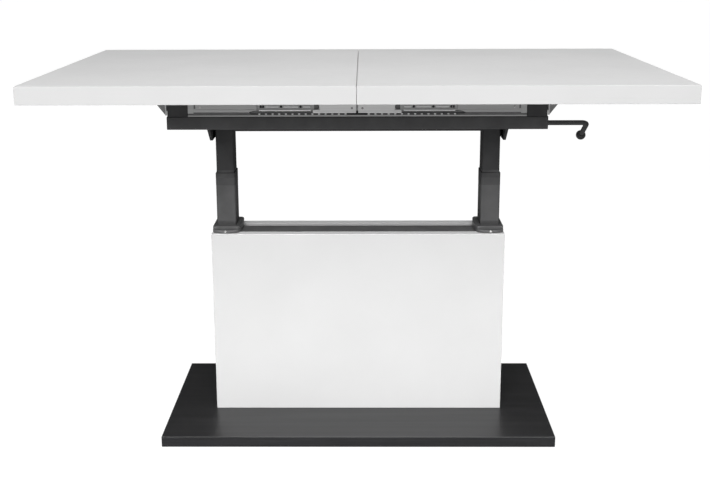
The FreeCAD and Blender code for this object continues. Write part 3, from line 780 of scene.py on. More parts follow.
def weld_bead(start: Sequence[float], end: Sequence[float], radius: float) -> Mesh:
    """Return a rippled weld seam between two points.

    Args:
        start: first point of the seam.
        end: last point of the seam.
        radius: half the seam's width.

    Returns:
        The new mesh.
    """
    shape = bmesh.new()
    first, run = Vector(start), Vector(end) - Vector(start)
    count = max(2, round(run.length / (radius * RIPPLE_PACE)))
    lean = run.to_track_quat("X", "Z").to_matrix().to_4x4()
    for step in range(count + 1):
        swell = 1.0 + RIPPLE_SWELL * math.sin(step * RIPPLE_BEAT)
        place = Matrix.Translation(first + run * (step / count))
        bmesh.ops.create_icosphere(shape, subdivisions=1, radius=radius * swell,
                                   matrix=place @ lean @ Matrix.Diagonal((RIPPLE_PACE, 1.0, 1.0, 1.0)))
    return shape


def banded_board(low: Vector, high: Vector, across: Axis, band: float, size: float) -> tuple[Mesh, Mesh]:
    """Return a board's core and the edge band that runs round it.

    Args:
        low: lowest corner of the finished board.
        high: highest corner of the finished board.
        across: axis of the board's thickness.
        band: thickness of the band.
        size: radius of the band's outer edges.

    Returns:
        The core and the band.
    """
    inset = Vector([band * (1 - abs(c)) for c in across.value])
    core = block(low + inset, high - inset)
    ring = tube(low, high, across, band, 0.0)
    outer = {v for v in ring.verts
             if all(across.value[k] or min(v.co[k] - low[k], high[k] - v.co[k]) < band / 2 for k in range(3))}
    ease(ring, [e for e in ring.edges if outer.issuperset(e.verts)], size, steps=3)
    return core, ring


def turned(along: Vector, at: Sequence[float]) -> Matrix:
    """Return the placing that stands a turned shape on a point, along a direction."""
    return Matrix.Translation(Vector(at)) @ Vector((0, 0, 1)).rotation_difference(along).to_matrix().to_4x4()


def mirrored(side: Side = Side.RIGHT, edge: Edge = Edge.FRONT) -> Matrix:
    """Return the placing that takes a right-hand front shape to its own corner of the table."""
    return Matrix.Diagonal((side.value, -edge.value, 1, 1))


def corners() -> list[Matrix]:
    """Return the placings of the table's four corners."""
    return [mirrored(side, edge) for side in Side for edge in Edge]


@dataclass(frozen=True)
class Corner:
    """One of the table's four corners, with what a runner needs to know of it."""

    side: Side
    edge: Edge

    @property
    def title(self) -> str:
        """Return the words that stand in the names of pieces."""
        return f"{self.side.word}_{self.edge.word}"

    @property
    def body(self) -> str:
        """Return the body of the corner's half of the top."""
        return f"top_{self.side.word}"

    @property
    def place(self) -> Matrix:
        """Return the placing of the corner's shapes."""
        return mirrored(self.side, self.edge)


@dataclass
class Sketch:
    """A piece in the making, in millimetres on the table's own frame."""

    name: str
    body: str
    finish: Finish
    replaces: tuple[str, ...] = ()
    crease: float = 38.0
    mesh: Mesh = field(default_factory=bmesh.new, repr=False)

    def add(self, shape: Mesh, place: Matrix | None = None) -> "Sketch":
        """Join a shape to the piece.

        Args:
            shape: mesh to join, which is used up.
            place: placing of the shape.

        Returns:
            The piece itself.
        """
        if place is not None:
            shape.transform(place)
            if place.determinant() < 0:
                bmesh.ops.reverse_faces(shape, faces=shape.faces)
        carrier = bpy.data.meshes.new("carrier")
        shape.to_mesh(carrier)
        shape.free()
        self.mesh.from_mesh(carrier)
        bpy.data.meshes.remove(carrier)
        return self

    def make(self) -> bpy.types.Object:
        """Turn the piece into an object that rides on its body.

        Returns:
            The new object.
        """
        bmesh.ops.scale(self.mesh, verts=self.mesh.verts, vec=(MM, MM, MM))
        data = bpy.data.meshes.new(self.name)
        self.mesh.to_mesh(data)
        self.mesh.free()
        data.shade_smooth()
        data.set_sharp_from_angle(angle=math.radians(self.crease))
        piece = bpy.data.objects.new(self.name, data)
        bpy.context.scene.collection.objects.link(piece)
        even = piece.modifiers.new("even_normals", "WEIGHTED_NORMAL")
        even.keep_sharp = True
        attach(piece, self.body)
        if self.replaces:
            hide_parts(*self.replaces)
        return piece

    def dress(self, piece: bpy.types.Object) -> None:
        """Give an object the piece's finish."""
        piece.data.materials.append(self.finish.material())


@dataclass
class Assembly:
    """A group of pieces that are built and dressed together."""

    sketches: list[Sketch] = field(default_factory=list, init=False, repr=False)

    def sketch(self, name: str, body: str, finish: Finish, *replaces: str) -> Sketch:
        """Start a new piece of the group.

        Args:
            name: the piece's name.
            body: the body that it rides on.
            finish: its surface.
            replaces: nodes of the frame that it stands for.

        Returns:
            The empty piece.
        """
        self.sketches.append(Sketch(name, body, finish, replaces))
        return self.sketches[-1]

    def build(self) -> None:
        """Shape every piece of the group."""
        raise NotImplementedError

    def dress(self) -> list[bpy.types.Object]:
        """Turn the shaped pieces into dressed objects.

        Returns:
            The group's objects.
        """
        pieces = []
        for sketch in self.sketches:
            piece = sketch.make()
            sketch.dress(piece)
            log.info("%s: %s on %s", type(self).__name__, sketch.name, sketch.body)
            pieces.append(piece)
        return pieces


@dataclass
class Tabletop(Assembly):
    """The two white halves, their edge bands and the dowels in the joint."""

    band: float = 1.5
    band_round: float = 0.9
    hole_r: float = 4.1
    hole_depth: float = 14.0
    dowel_rows: tuple[float, ...] = (-250.0, 0.0, 250.0)
    dowel_groove: float = 0.25
    foot_share: float = 0.6
    foot_height: float = 1.2
    nose_share: float = 0.72
    nose_height: float = 2.0
    nose_tip: float = 0.4

    def build(self) -> None:
        """Shape both halves and the dowels."""
        for side in Side:
            self.half(side)
        self.dowels()

    def half(self, side: Side) -> None:
        """Shape one half with its band, drilled for the dowels.

        Args:
            side: end of the table.
        """
        body, room = f"top_{side.word}", Extent.of("top_right")
        core, ring = banded_board(room.low, room.high, Axis.Z, self.band, self.band_round)
        for shape, start, depth in ((core, self.band, self.hole_depth), (ring, 0.0, self.band)):
            places = [(room.low.x + start, y, room.centre.z) for y in self.dowel_rows]
            drill(shape, -Axis.X.value, places, self.hole_r, depth)
        self.sketch(f"{body}_board", body, WHITE_FACE, body).add(core, mirrored(side))
        # The band takes the darker copy of the laminate: painted shade on the upright edge.
        self.sketch(f"{body}_edge_band", body, SHADED_WHITE_BAND).add(ring, mirrored(side))

    def dowels(self) -> None:
        """Shape the three dowels, with grooved sides and rounded ends."""
        room = Extent.of("top_dowels")
        piece = self.sketch("joint_dowels", "top_left", BEECH_WOOD, "top_dowels")
        r, length = room.size.z / 2, room.size.x
        profile = [(0, 0), (r * self.foot_share, 0), (r, self.foot_height), (r, length - self.nose_height),
                   (r * self.nose_share, length - self.nose_tip), (0, length)]
        for y in self.dowel_rows:
            shape = lathe(profile, steps=24)
            sides = [e for e in edges_along(shape, Axis.Z) if e.calc_length() > length / 2]
            ease(shape, sides[::2], self.dowel_groove, steps=1)
            piece.add(shape, turned(Axis.X.value, (room.low.x, y, room.centre.z)))


@dataclass
class DrawSlides(Assembly):
    """Aluminium rails and runners, ball cages and the strips before the racks, in the gap under the top."""

    rail_room: Extent = field(default_factory=lambda: Extent.of("slide_rail_front"))
    runner_room: Extent = field(default_factory=lambda: Extent.of("runner_right_front"))
    rack_front: float = field(default_factory=lambda: Extent.of("rack_left_front").low.y)
    bar_round: float = 0.35
    trim_round: float = 0.3
    fine_round: float = 0.25
    seat_gap: float = 0.1
    root: float = 0.2
    base: float = 3.0
    web: float = 4.0
    lip: float = 3.0
    lip_depth: float = 10.0
    groove_height: float = 18.0
    running_gap: float = 0.3
    horn_width: float = 39.0
    horn_gap: float = 0.2
    horn_room: float = 5.0
    runner_width: float = 56.0
    rake: float = 26.0
    wall: float = 3.0
    hollow: float = 60.0
    line_up: float = 16.0
    line_height: float = 2.0
    line_sink: float = 1.0
    cage_up: float = 2.5
    cage_height: float = 9.0
    cage_sink: float = 2.0
    cage_play: float = 0.1
    cage_thick: float = 2.9
    nose_proud: float = 0.5
    nose_thick: float = 2.6
    nose_length: float = 9.5
    nose_lead: float = 0.8
    ball_r: float = 2.6
    ball_play: float = 0.2
    ball_sink: float = 2.0
    ball_hole: float = 1.6
    ball_rise: float = 0.6
    ball_places: tuple[float, ...] = (107.4, 144.5, 178.6, 183.0)
    rib_inset: float = 4.5
    rib_proud: float = 0.35
    rib_start: float = 8.0
    rib_reach: tuple[float, float] = (-1.3, 0.7)
    pitch: float = 4.0 * math.pi
    pad_half: float = 1.9
    pad_start: float = 3.0
    pad_proud: float = 0.8
    pad_round: float = 0.5
    screen_thick: float = 2.2
    screen_gap: float = 0.4
    screen_height: float = 3.2
    screen_end: float = 202.0
    guide_half: float = 19.0
    guide_play: float = 0.3
    guide_front: float = 0.8
    guide_round: float = 0.8
    plate_gap: float = 1.9
    plate_end: float = 71.5
    plate_up: float = 0.4
    plate_shelf: float = 1.6
    plate_drop: float = 0.5
    plate_lap: float = 1.0
    plate_screws: tuple[tuple[float, float], ...] = ((10.0, 9.0), (56.0, 22.0), (10.0, 26.0))
    plate_screw_r: float = 2.2
    plate_screw_height: float = 0.9
    plate_screw_sink: float = 0.75
    bead_height: float = 1.9
    bead_proud: float = 0.2
    shade_strip_up: float = 1.2
    shade_strip_thick: float = 1.9
    shade_strip_round: float = 0.15
    shade_strip_ends: tuple[float, float] = (2.0, -4.0)
    lip_end: float = 84.0
    lip_proud: float = 4.2
    lip_top: float = 2.0
    lip_inset: tuple[float, float] = (4.0, 16.0)
    cap_gap: float = 1.8
    cap_up: float = 2.0
    cap_inset: float = 0.5
    cap_front: float = 2.2
    cap_thick: float = 2.1
    cap_rib: Point = (2.6, 3.9, 4.0)
    cap_rib_round: float = 0.4
    cover_top: float = 20.0
    cover_lift: float = 2.2
    cover_near: float = 12.0
    cover_start: float = 3.0
    cover_split: float = 0.4
    cover_line: float = 7.6
    cover_back: float = 0.3
    tongue_up: float = 5.0
    tongue_inset: float = 1.0
    tongue_thick: float = 0.5
    bracket_width: float = 11.0
    slot_width: float = 3.0
    slot_gap: float = 0.5
    slot_up: float = 1.5
    cover_screw_at: tuple[float, float] = (297.6, 12.6)
    cover_screw_r: float = 2.0
    cover_screw_height: float = 1.0
    sill_back: float = 0.9
    sill_root: float = 1.0
    sill_gap: float = 0.6

    @property
    def floor(self) -> float:
        """Height of the rails' floor."""
        return self.rail_room.low.z + self.base

    @property
    def screen_top(self) -> float:
        """Height of the strip before the racks."""
        return self.floor + self.screen_height

    @property
    def screen_back(self) -> float:
        """Where the strip before the racks ends, just before them."""
        return self.rack_front - self.screen_gap

    @property
    def screen_front(self) -> float:
        """Where the strip before the racks begins."""
        return self.screen_back - self.screen_thick

    @property
    def horn(self) -> float:
        """Where the strips end, beside an upstand."""
        return self.rail_room.high.x - self.horn_width - self.horn_gap

    def build(self) -> None:
        """Shape the slides at the front and mirror them to the rear."""
        for edge in Edge:
            self.rail(edge)
            self.screen(edge)
            self.covers(edge)
            for side in Side:
                corner = Corner(side, edge)
                self.runner(corner)
                self.centre_plate(corner)
                self.runner_strips(corner)
                self.runner_cap(corner)
        for side in Side:
            self.cages(side)
        self.guides()

    def rail(self, edge: Edge) -> None:
        """Shape the fixed rail: a floor and a grooved rear wall.

        Args:
            edge: long edge of the table.
        """
        room = self.rail_room
        # The rail takes the darker aluminium: painted shade.
        piece = self.sketch(f"rail_{edge.word}", "frame", SHADED_ALUMINIUM, f"slide_rail_{edge.word}")
        x0, x1 = room.low.x, room.high.x
        clear = room.low.y + self.horn_room
        inner = x1 - self.horn_width
        for start, end, front in ((x0, -inner, clear), (-inner, inner, room.low.y), (inner, x1, clear)):
            section = self.rail_section(start, front)
            piece.add(prism(section, (end - start, 0, 0), self.bar_round, steps=1), mirrored(edge=edge))

    def rail_section(self, x: float, front: float) -> list[Point]:
        """Return the rail's section at a place along the table.

        Args:
            x: place along the table.
            front: where the rail's floor begins.

        Returns:
            The section's corners.
        """
        room = self.rail_room
        z0, z1, y1 = room.low.z, room.high.z, room.high.y
        wall, high, low = y1 - self.web, z1 - self.lip, z1 - self.lip - self.groove_height
        tip = wall - self.lip_depth
        return [(x, front, z0), (x, y1, z0), (x, y1, z1), (x, tip, z1), (x, tip, high), (x, wall, high),
                (x, wall, low), (x, tip, low), (x, tip, low - self.lip), (x, wall, low - self.lip),
                (x, wall, self.floor), (x, front, self.floor)]

    def runner_section(self) -> list[Point]:
        """Return a runner's section at its inner end, with the grooves for its line and its cage.

        Returns:
            The section's corners.
        """
        room = self.runner_room
        x, y0, y2, z0, z1 = room.low.x, room.low.y, room.high.y, room.low.z, room.high.z
        y1 = y0 + self.runner_width
        high = self.rail_room.high.z - self.lip - self.running_gap
        low = high - self.groove_height + 2 * self.running_gap
        section = [(x, y0, z0), (x, y1, z0), (x, y1, low), (x, y2, low), (x, y2, high), (x, y1, high),
                   (x, y1, z1), (x, y0, z1)]
        for up, height, sink_in in ((self.line_up, self.line_height, self.line_sink),
                                    (self.cage_up, self.cage_height, self.cage_sink)):
            foot, top = z0 + up, z0 + up + height
            section += [(x, y0, top), (x, y0 + sink_in, top), (x, y0 + sink_in, foot), (x, y0, foot)]
        return section

    def runner(self, corner: Corner) -> None:
        """Shape one runner: a grooved hollow section with a raked outer end.

        Args:
            corner: the runner's corner.
        """
        room = self.runner_room
        shape = prism(self.runner_section(), (room.size.x, 0, 0))
        rake = Vector((room.size.z, 0, -self.rake)).normalized()
        cut = bmesh.ops.bisect_plane(shape, geom=[*shape.verts, *shape.edges, *shape.faces],
                                     plane_co=(room.high.x, room.low.y, room.high.z), plane_no=rake,
                                     clear_outer=True)["geom_cut"]
        bmesh.ops.edgeloop_fill(shape, edges=only(cut, Line))
        ease(shape, edges_along(shape, Axis.X), self.bar_round, steps=1)
        end = facing(shape, rake)[0]
        bmesh.ops.inset_region(shape, faces=[end], thickness=self.wall, use_even_offset=True)
        push(shape, [end], (-self.hollow, 0, 0))
        bmesh.ops.recalc_face_normals(shape, faces=shape.faces)
        title = f"runner_{corner.title}"
        self.sketch(f"{title}_bar", corner.body, ALUMINIUM, title).add(shape, corner.place)

    def centre_plate(self, corner: Corner) -> None:
        """Shape the plate before a runner's inner end, painted pale as a reflection, with its lower bead
        painted bright as a highlight, and its screws.

        Args:
            corner: the runner's corner.
        """
        room = self.runner_room
        back, front, x0 = self.screen_back, self.screen_front, self.plate_gap
        foot, shelf = self.screen_top + self.plate_up, room.low.z + self.plate_shelf
        top = room.high.z - self.plate_drop
        outline = [(x0, front, foot), (x0, back, foot), (x0, back, shelf), (x0, room.low.y, shelf),
                   (x0, room.low.y, top), (x0, front, top)]
        plate = self.sketch(f"centre_plate_{corner.title}", corner.body, LIT_ALUMINIUM)
        plate.add(prism(outline, (self.plate_end - x0, 0, 0), self.fine_round, steps=1), corner.place)
        ledge = ((self.plate_end - self.plate_lap, front, foot), (self.lip_end, back, shelf + self.plate_up))
        plate.add(block(*ledge, self.fine_round, steps=1), corner.place)
        bead = self.sketch(f"plate_bead_{corner.title}", corner.body, HIGHLIGHT_ALUMINIUM)
        ends = ((x0, front - self.bead_proud, foot),
                (self.lip_end, front + self.trim_round, foot + self.bead_height))
        bead.add(block(*ends, self.trim_round), corner.place)
        screws = self.sketch(f"plate_screws_{corner.title}", corner.body, BLACK_STEEL)
        for x, up in self.plate_screws:
            spot = turned(TO_FRONT, (x, front + self.plate_screw_sink, foot + up))
            head = screw_head(self.plate_screw_r, self.plate_screw_height, Recess.CROSS)
            screws.add(head, corner.place @ spot)

    def runner_strips(self, corner: Corner) -> None:
        """Shape the dark strip that paints the shadow under the runner, and the pale lip under its cage that
        paints a highlight line.

        Args:
            corner: the runner's corner.
        """
        y0, z0 = self.runner_room.low.y, self.runner_room.low.z
        front, low, high = self.screen_front + self.root, self.screen_top + self.shade_strip_up, z0 - self.seat_gap
        near, (foot, head) = self.lip_end + self.running_gap, self.shade_strip_ends
        outline = [(near, front, low), (self.screen_end + foot, front, low),
                   (self.screen_end + head, front, high), (near, front, high)]
        shade_strip = self.sketch(f"runner_wiper_{corner.title}", corner.body, SHADE_PLASTIC)
        shade_strip.add(prism(outline, (0, self.shade_strip_thick, 0), self.shade_strip_round, steps=1), corner.place)
        start, stop = self.lip_inset
        lip = self.sketch(f"runner_lip_{corner.title}", corner.body, HIGHLIGHT_ALUMINIUM)
        ends = ((self.lip_end + start, y0 - self.lip_proud, z0 + self.seat_gap),
                (self.screen_end - stop, y0 + self.trim_round, z0 + self.lip_top))
        lip.add(block(*ends, self.trim_round), corner.place)

    def runner_cap(self, corner: Corner) -> None:
        """Shape the cap on the runner's raked outer end, painted darker as shade, with its rib.

        Args:
            corner: the runner's corner.
        """
        room = self.runner_room
        inner, foot = self.rail_room.high.x + self.cap_gap, self.rail_room.low.z + self.cap_up
        top, front = room.high.z - self.cap_inset, room.low.y - self.cap_front
        slope = self.rake / room.size.z
        outer = room.high.x - slope * (room.high.z - foot) - self.cap_inset
        face = [(inner, front, foot), (outer, front, foot), (outer + slope * (top - foot), front, top),
                (inner, front, top)]
        cap = self.sketch(f"runner_end_cap_{corner.title}", corner.body, SHADED_CAP_ALUMINIUM)
        cap.add(prism(face, (0, self.cap_thick, 0), self.trim_round), corner.place)
        width, proud, drop = self.cap_rib
        rib = self.sketch(f"end_cap_rib_{corner.title}", corner.body, ALUMINIUM)
        ends = (inner, room.low.y - proud, foot), (inner + width, room.low.y - self.cap_thick, top - drop)
        rib.add(block(*ends, self.cap_rib_round), corner.place)

    def cages(self, side: Side) -> None:
        """Shape one half's ball cages: a strip with a dark nose, partly painted shade, its balls, and ribs
        painted as a highlight.

        Args:
            side: end of the table.
        """
        room, body = Extent.of("ball_cages_right"), f"top_{side.word}"
        strips = self.sketch(f"ball_cage_strips_{side.word}", body, CAGE_STEEL, f"ball_cages_{side.word}")
        noses = self.sketch(f"cage_noses_{side.word}", body, SHADE_PLASTIC)
        balls = self.sketch(f"cage_balls_{side.word}", body, BLACK_STEEL)
        ribs = self.sketch(f"cage_ribs_{side.word}", body, LIT_ALUMINIUM)
        low, front, half = self.runner_room.low.z + self.cage_up, room.low.y, self.cage_height / 2
        high, middle = low + self.cage_height, low + half + self.ball_rise
        seats = [(x, front, middle) for x in self.ball_places]
        stops = [room.low.x + half + self.rib_start, *self.ball_places[:3]]
        for edge in Edge:
            place = mirrored(side, edge)
            strip = self.round_nose((room.low.x + self.nose_lead, front, low + self.cage_play),
                                    (room.high.x, front + self.cage_thick, high - self.cage_play),
                                    half - 2 * self.cage_play)
            drill(strip, TO_FRONT, seats, self.ball_r, self.ball_hole)
            strips.add(strip, place)
            noses.add(self.round_nose((room.low.x, front - self.nose_proud, low),
                                      (room.low.x + self.nose_length, front + self.nose_thick, high),
                                      half - self.cage_play), place)
            for x, y, z in seats:
                ball = bmesh.new()
                spot = Matrix.Translation((x, y + self.ball_sink, z))
                bmesh.ops.create_uvsphere(ball, u_segments=20, v_segments=12,
                                          radius=self.ball_r - self.ball_play, matrix=spot)
                balls.add(ball, place)
            under, over = self.rib_reach
            for start, end in zip(stops, stops[1:]):
                ends = ((start + self.rib_inset, front - self.rib_proud, middle + under),
                        (end - self.rib_inset, front + self.root, middle + over))
                ribs.add(block(*ends, self.fine_round), place)

    def round_nose(self, low: Point, high: Point, radius: float) -> Mesh:
        """Return a strip with a rounded inner end.

        Args:
            low: lowest corner, at the rounded end.
            high: highest corner.
            radius: radius of the end's corners.

        Returns:
            The new mesh.
        """
        shape = block(low, high)
        nose = [e for e in edges_along(shape, Axis.Y) if e.verts[0].co.x < low[0] + radius]
        ease(shape, nose, radius, steps=8)
        return shape

    def screen(self, edge: Edge) -> None:
        """Shape the strip before the racks, dark as painted shadow, with its sill, and pale pads at the teeth
        as painted light.

        Args:
            edge: long edge of the table.
        """
        front, back, foot, top = self.screen_front, self.screen_back, self.floor, self.screen_top
        strip = self.sketch(f"rack_screen_{edge.word}", "frame", SHADE_PLASTIC)
        lit_pads = self.sketch(f"rack_pads_{edge.word}", "frame", LIT_PLASTIC)
        sill, rise = self.rail_room.low.y + self.sill_back, top + self.cover_lift - self.horn_gap
        spans = (((self.guide_half + self.guide_play, front, foot), (self.screen_end, back, top)),
                 ((self.screen_end, sill, foot), (self.horn, back, top)),
                 ((self.screen_end + self.cover_start, sill, top - self.sill_root),
                  (self.horn, front - self.sill_gap, rise)))
        for side in Side:
            place = mirrored(side, edge)
            for low, high in spans:
                strip.add(block(low, high, self.trim_round, steps=1), place)
            for k in range(int((self.screen_end - self.guide_half) / self.pitch)):
                x = self.guide_half + self.pad_start + k * self.pitch
                ends = ((x - self.pad_half, front - self.pad_proud, foot + self.seat_gap),
                        (x + self.pad_half, front + self.root, top - self.trim_round))
                lit_pads.add(block(*ends, self.pad_round, steps=3), place)

    def covers(self, edge: Edge) -> None:
        """Shape the strips beside the upstands in darker aluminium as painted shade, each with a bracket, a
        dark slot of painted shade and a screw.

        Args:
            edge: long edge of the table.
        """
        horn, low = self.horn, self.screen_top
        front, back = self.rail_room.low.y + self.horn_gap, self.screen_front - self.cover_back
        top, line = self.floor + self.cover_top, low + self.cover_line
        near, foot, split = self.screen_end - self.cover_near, low + self.cover_lift, line + self.cover_split
        cover = self.sketch(f"slide_covers_{edge.word}", "frame", SHADED_ALUMINIUM)
        slot = self.sketch(f"cover_slots_{edge.word}", "frame", SHADE_PLASTIC)
        screw = self.sketch(f"cover_screws_{edge.word}", "frame", BRIGHT_STEEL)
        upper = [(near, front, split), (horn, front, split), (horn, front, top), (near, front, top)]
        lower = [(self.screen_end + self.cover_start, front, foot), (horn, front, foot), (horn, front, line),
                 (near, front, line)]
        inset, bracket = self.tongue_inset, horn - self.bracket_width
        groove = bracket - self.slot_gap
        screw_x, screw_up = self.cover_screw_at
        for side in Side:
            place = mirrored(side, edge)
            for face in (upper, lower):
                cover.add(prism(face, (0, back - front, 0), self.trim_round), place)
            cover.add(block((near + inset, back - self.tongue_thick, low + self.tongue_up),
                            (horn - inset, back, top - inset)), place)
            cover.add(block((bracket, front - self.tongue_thick, low + self.horn_gap),
                            (horn, front + self.trim_round, top), self.trim_round), place)
            ends = ((groove - self.slot_width, front - self.seat_gap, line + self.slot_up),
                    (groove, front + self.slot_gap, top - self.slot_gap))
            slot.add(block(*ends, self.seat_gap, steps=1), place)
            spot = turned(TO_FRONT, (screw_x, front, low + screw_up))
            screw.add(screw_head(self.cover_screw_r, self.cover_screw_height, Recess.CROSS), place @ spot)

    def guides(self) -> None:
        """Shape the black blocks that hold the racks to the pinions."""
        room, rack, rail = Extent.of("rack_guides"), Extent.of("rack_right_front"), self.rail_room
        piece = self.sketch("rack_guide_blocks", "frame", BLACK_PLASTIC, "rack_guides")
        spans = ((rail.low.y + self.guide_front, self.rack_front - self.guide_play, self.screen_top),
                 (rack.high.y + self.guide_play, rail.high.y - self.web, room.high.z))
        for edge in Edge:
            for y0, y1, top in spans:
                low, high = (room.low.x, y0, self.floor), (room.high.x, y1, top)
                piece.add(block(low, high, self.guide_round, steps=3), mirrored(edge=edge))


@dataclass
class SteelFrame(Assembly):
    """The dark welded frame that carries the slides, with its plugs, upstands and seams."""

    wall: float = 2.0
    corner: float = 2.5
    tube_width: float = 30.0
    cross_width: float = 40.0
    horn_width: float = 39.0
    horn_thick: float = 3.0
    horn_round: float = 0.9
    plug_face: float = 1.5
    plug_depth: float = 13.0
    plug_gap: float = 0.1
    plug_round: float = 0.8
    plug_ease: float = 0.6
    seam_r: float = 2.2
    seam_short: float = 3.0
    seam_sink: float = 0.4
    seam_out: float = 0.3
    horn_seam_r: float = 1.4
    horn_seam_up: float = 0.5
    head_width: float = 60.0
    head_round: float = 0.8
    bolt_r: float = 5.0
    bolt_height: float = 3.0
    bolt_inset: tuple[float, float] = (8.0, 10.0)
    gusset_thick: float = 6.0
    gusset_foot: float = 26.0
    beam_wall: float = 3.0
    beam_round: float = 1.2

    def build(self) -> None:
        """Shape the tubes, upstands, plugs, seams and column heads."""
        self.long_tubes()
        self.cross_tubes()
        self.horns()
        self.plugs()
        self.seams()
        self.heads()
        self.beam()

    def long_tubes(self) -> None:
        """Shape the front and rear tubes."""
        room = Extent.of("frame_tube_front")
        for edge in Edge:
            piece = self.sketch(f"long_tube_{edge.word}", "frame", FRAME_STEEL, f"frame_tube_{edge.word}")
            piece.add(tube(room.low, room.high, Axis.X, self.wall, self.corner), mirrored(edge=edge))

    def cross_tubes(self) -> None:
        """Shape the end tubes and the arms over the columns."""
        for name, node in (("end_tubes", "frame_sides"), ("column_arms", "frame_arms")):
            room = Extent.of(node)
            piece = self.sketch(name, "frame", FRAME_STEEL, node)
            low = Vector((room.high.x - self.cross_width, room.low.y, room.low.z))
            for side in Side:
                piece.add(tube(low, room.high, Axis.Y, self.wall, self.corner), mirrored(side))

    def horns(self) -> None:
        """Shape the four upstands, painted darker as the shade under the top, with the seams at their feet.
        """
        room = Extent.of("frame_horns")
        piece = self.sketch("end_upstands", "frame", SHADED_HORN_STEEL, "frame_horns")
        seams = self.sketch("upstand_welds", "frame", DARK_SEAM)
        near, end = room.high.x - self.horn_width, room.high.x
        back, foot = room.low.y + self.horn_thick, room.low.z + self.horn_seam_up
        ends = [(x, back + self.seam_out, foot) for x in (near + self.seam_short, end - self.seam_short)]
        low, high = (near, room.low.y, room.low.z), (end, back, room.high.z)
        for place in corners():
            piece.add(block(low, high, self.horn_round, steps=3), place)
            seams.add(weld_bead(*ends, self.horn_seam_r), place)

    def plugs(self) -> None:
        """Shape the moulded plugs in the ends of the long tubes."""
        room, inset = Extent.of("tube_plugs"), self.wall + self.plug_gap
        piece = self.sketch("end_plugs", "frame", BLACK_PLASTIC, "tube_plugs")
        face, back = room.high.x - self.plug_face, room.low.y + self.tube_width
        plate = (face, room.low.y, room.low.z), (room.high.x, back, room.high.z)
        stem = ((room.high.x - self.plug_depth, room.low.y + inset, room.low.z + inset),
                (face, back - inset, room.high.z - inset))
        for place in corners():
            cap = block(*plate, self.corner, steps=4, along=Axis.X)
            ease(cap, facing(cap, Axis.X.value)[0].edges, self.plug_ease)
            piece.add(cap, place)
            piece.add(block(*stem, self.plug_round), place)

    def seams(self) -> None:
        """Shape the weld seams where the cross tubes meet the long ones."""
        piece = self.sketch("frame_welds", "frame", DARK_SEAM)
        short, r = self.seam_short, self.seam_r
        for room in (Extent.of("frame_sides"), Extent.of("frame_arms")):
            inner, outer = room.high.x - self.cross_width, room.high.x
            x, y, z = (inner + self.seam_out, room.low.y + self.seam_sink, room.low.z + self.seam_sink)
            for place in corners():
                piece.add(weld_bead((inner + short, y, z), (outer - short, y, z), r), place)
                piece.add(weld_bead((x, y, room.low.z + short), (x, y, room.high.z - short), r), place)

    def heads(self) -> None:
        """Shape the column heads: plates, bolts and gussets."""
        room = Extent.of("head_plates")
        plates = self.sketch("column_head_plates", "frame", DARK_STEEL, "head_plates")
        bolts = self.sketch("head_bolts", "frame", BLACK_STEEL)
        fins = self.sketch("column_gussets", "frame", DARK_STEEL, "gussets")
        near, (along, across) = room.high.x - self.head_width, self.bolt_inset
        for side in Side:
            plates.add(block((near, room.low.y, room.low.z), room.high, self.head_round), mirrored(side))
            for x in (near + along, room.high.x - along):
                for y in (room.low.y + across, room.high.y - across):
                    place = mirrored(side) @ turned(-Axis.Z.value, (x, y, room.low.z))
                    bolts.add(screw_head(self.bolt_r, self.bolt_height, Recess.HEXAGON), place)
            fins.add(self.gusset(), mirrored(side))

    def gusset(self) -> Mesh:
        """Return one tapered plate outside a column.

        Returns:
            The new mesh.
        """
        room, foot = Extent.of("gussets"), self.gusset_foot
        outline = [(-foot, room.low.z), (foot, room.low.z),
                   (room.high.y, room.high.z), (room.low.y, room.high.z)]
        x = room.high.x - self.gusset_thick
        return prism([(x, y, z) for y, z in outline], (self.gusset_thick, 0, 0), self.head_round)

    def beam(self) -> None:
        """Shape the inverted channel between the column heads."""
        room, wall = Extent.of("cross_beam"), self.beam_wall
        y0, y1, z0, z1 = room.low.y, room.high.y, room.low.z, room.high.z
        outline = [(y0, z0), (y0 + wall, z0), (y0 + wall, z1 - wall), (y1 - wall, z1 - wall), (y1 - wall, z0),
                   (y1, z0), (y1, z1), (y0, z1)]
        shape = prism([(room.low.x, y, z) for y, z in outline], (room.size.x, 0, 0))
        rims = [e for e in edges_along(shape, Axis.X) if not z0 + wall / 2 < e.verts[0].co.z < z1 - wall / 2]
        ease(shape, rims, self.beam_round, steps=3)
        self.sketch("head_cross_beam", "frame", DARK_STEEL, "cross_beam").add(shape)


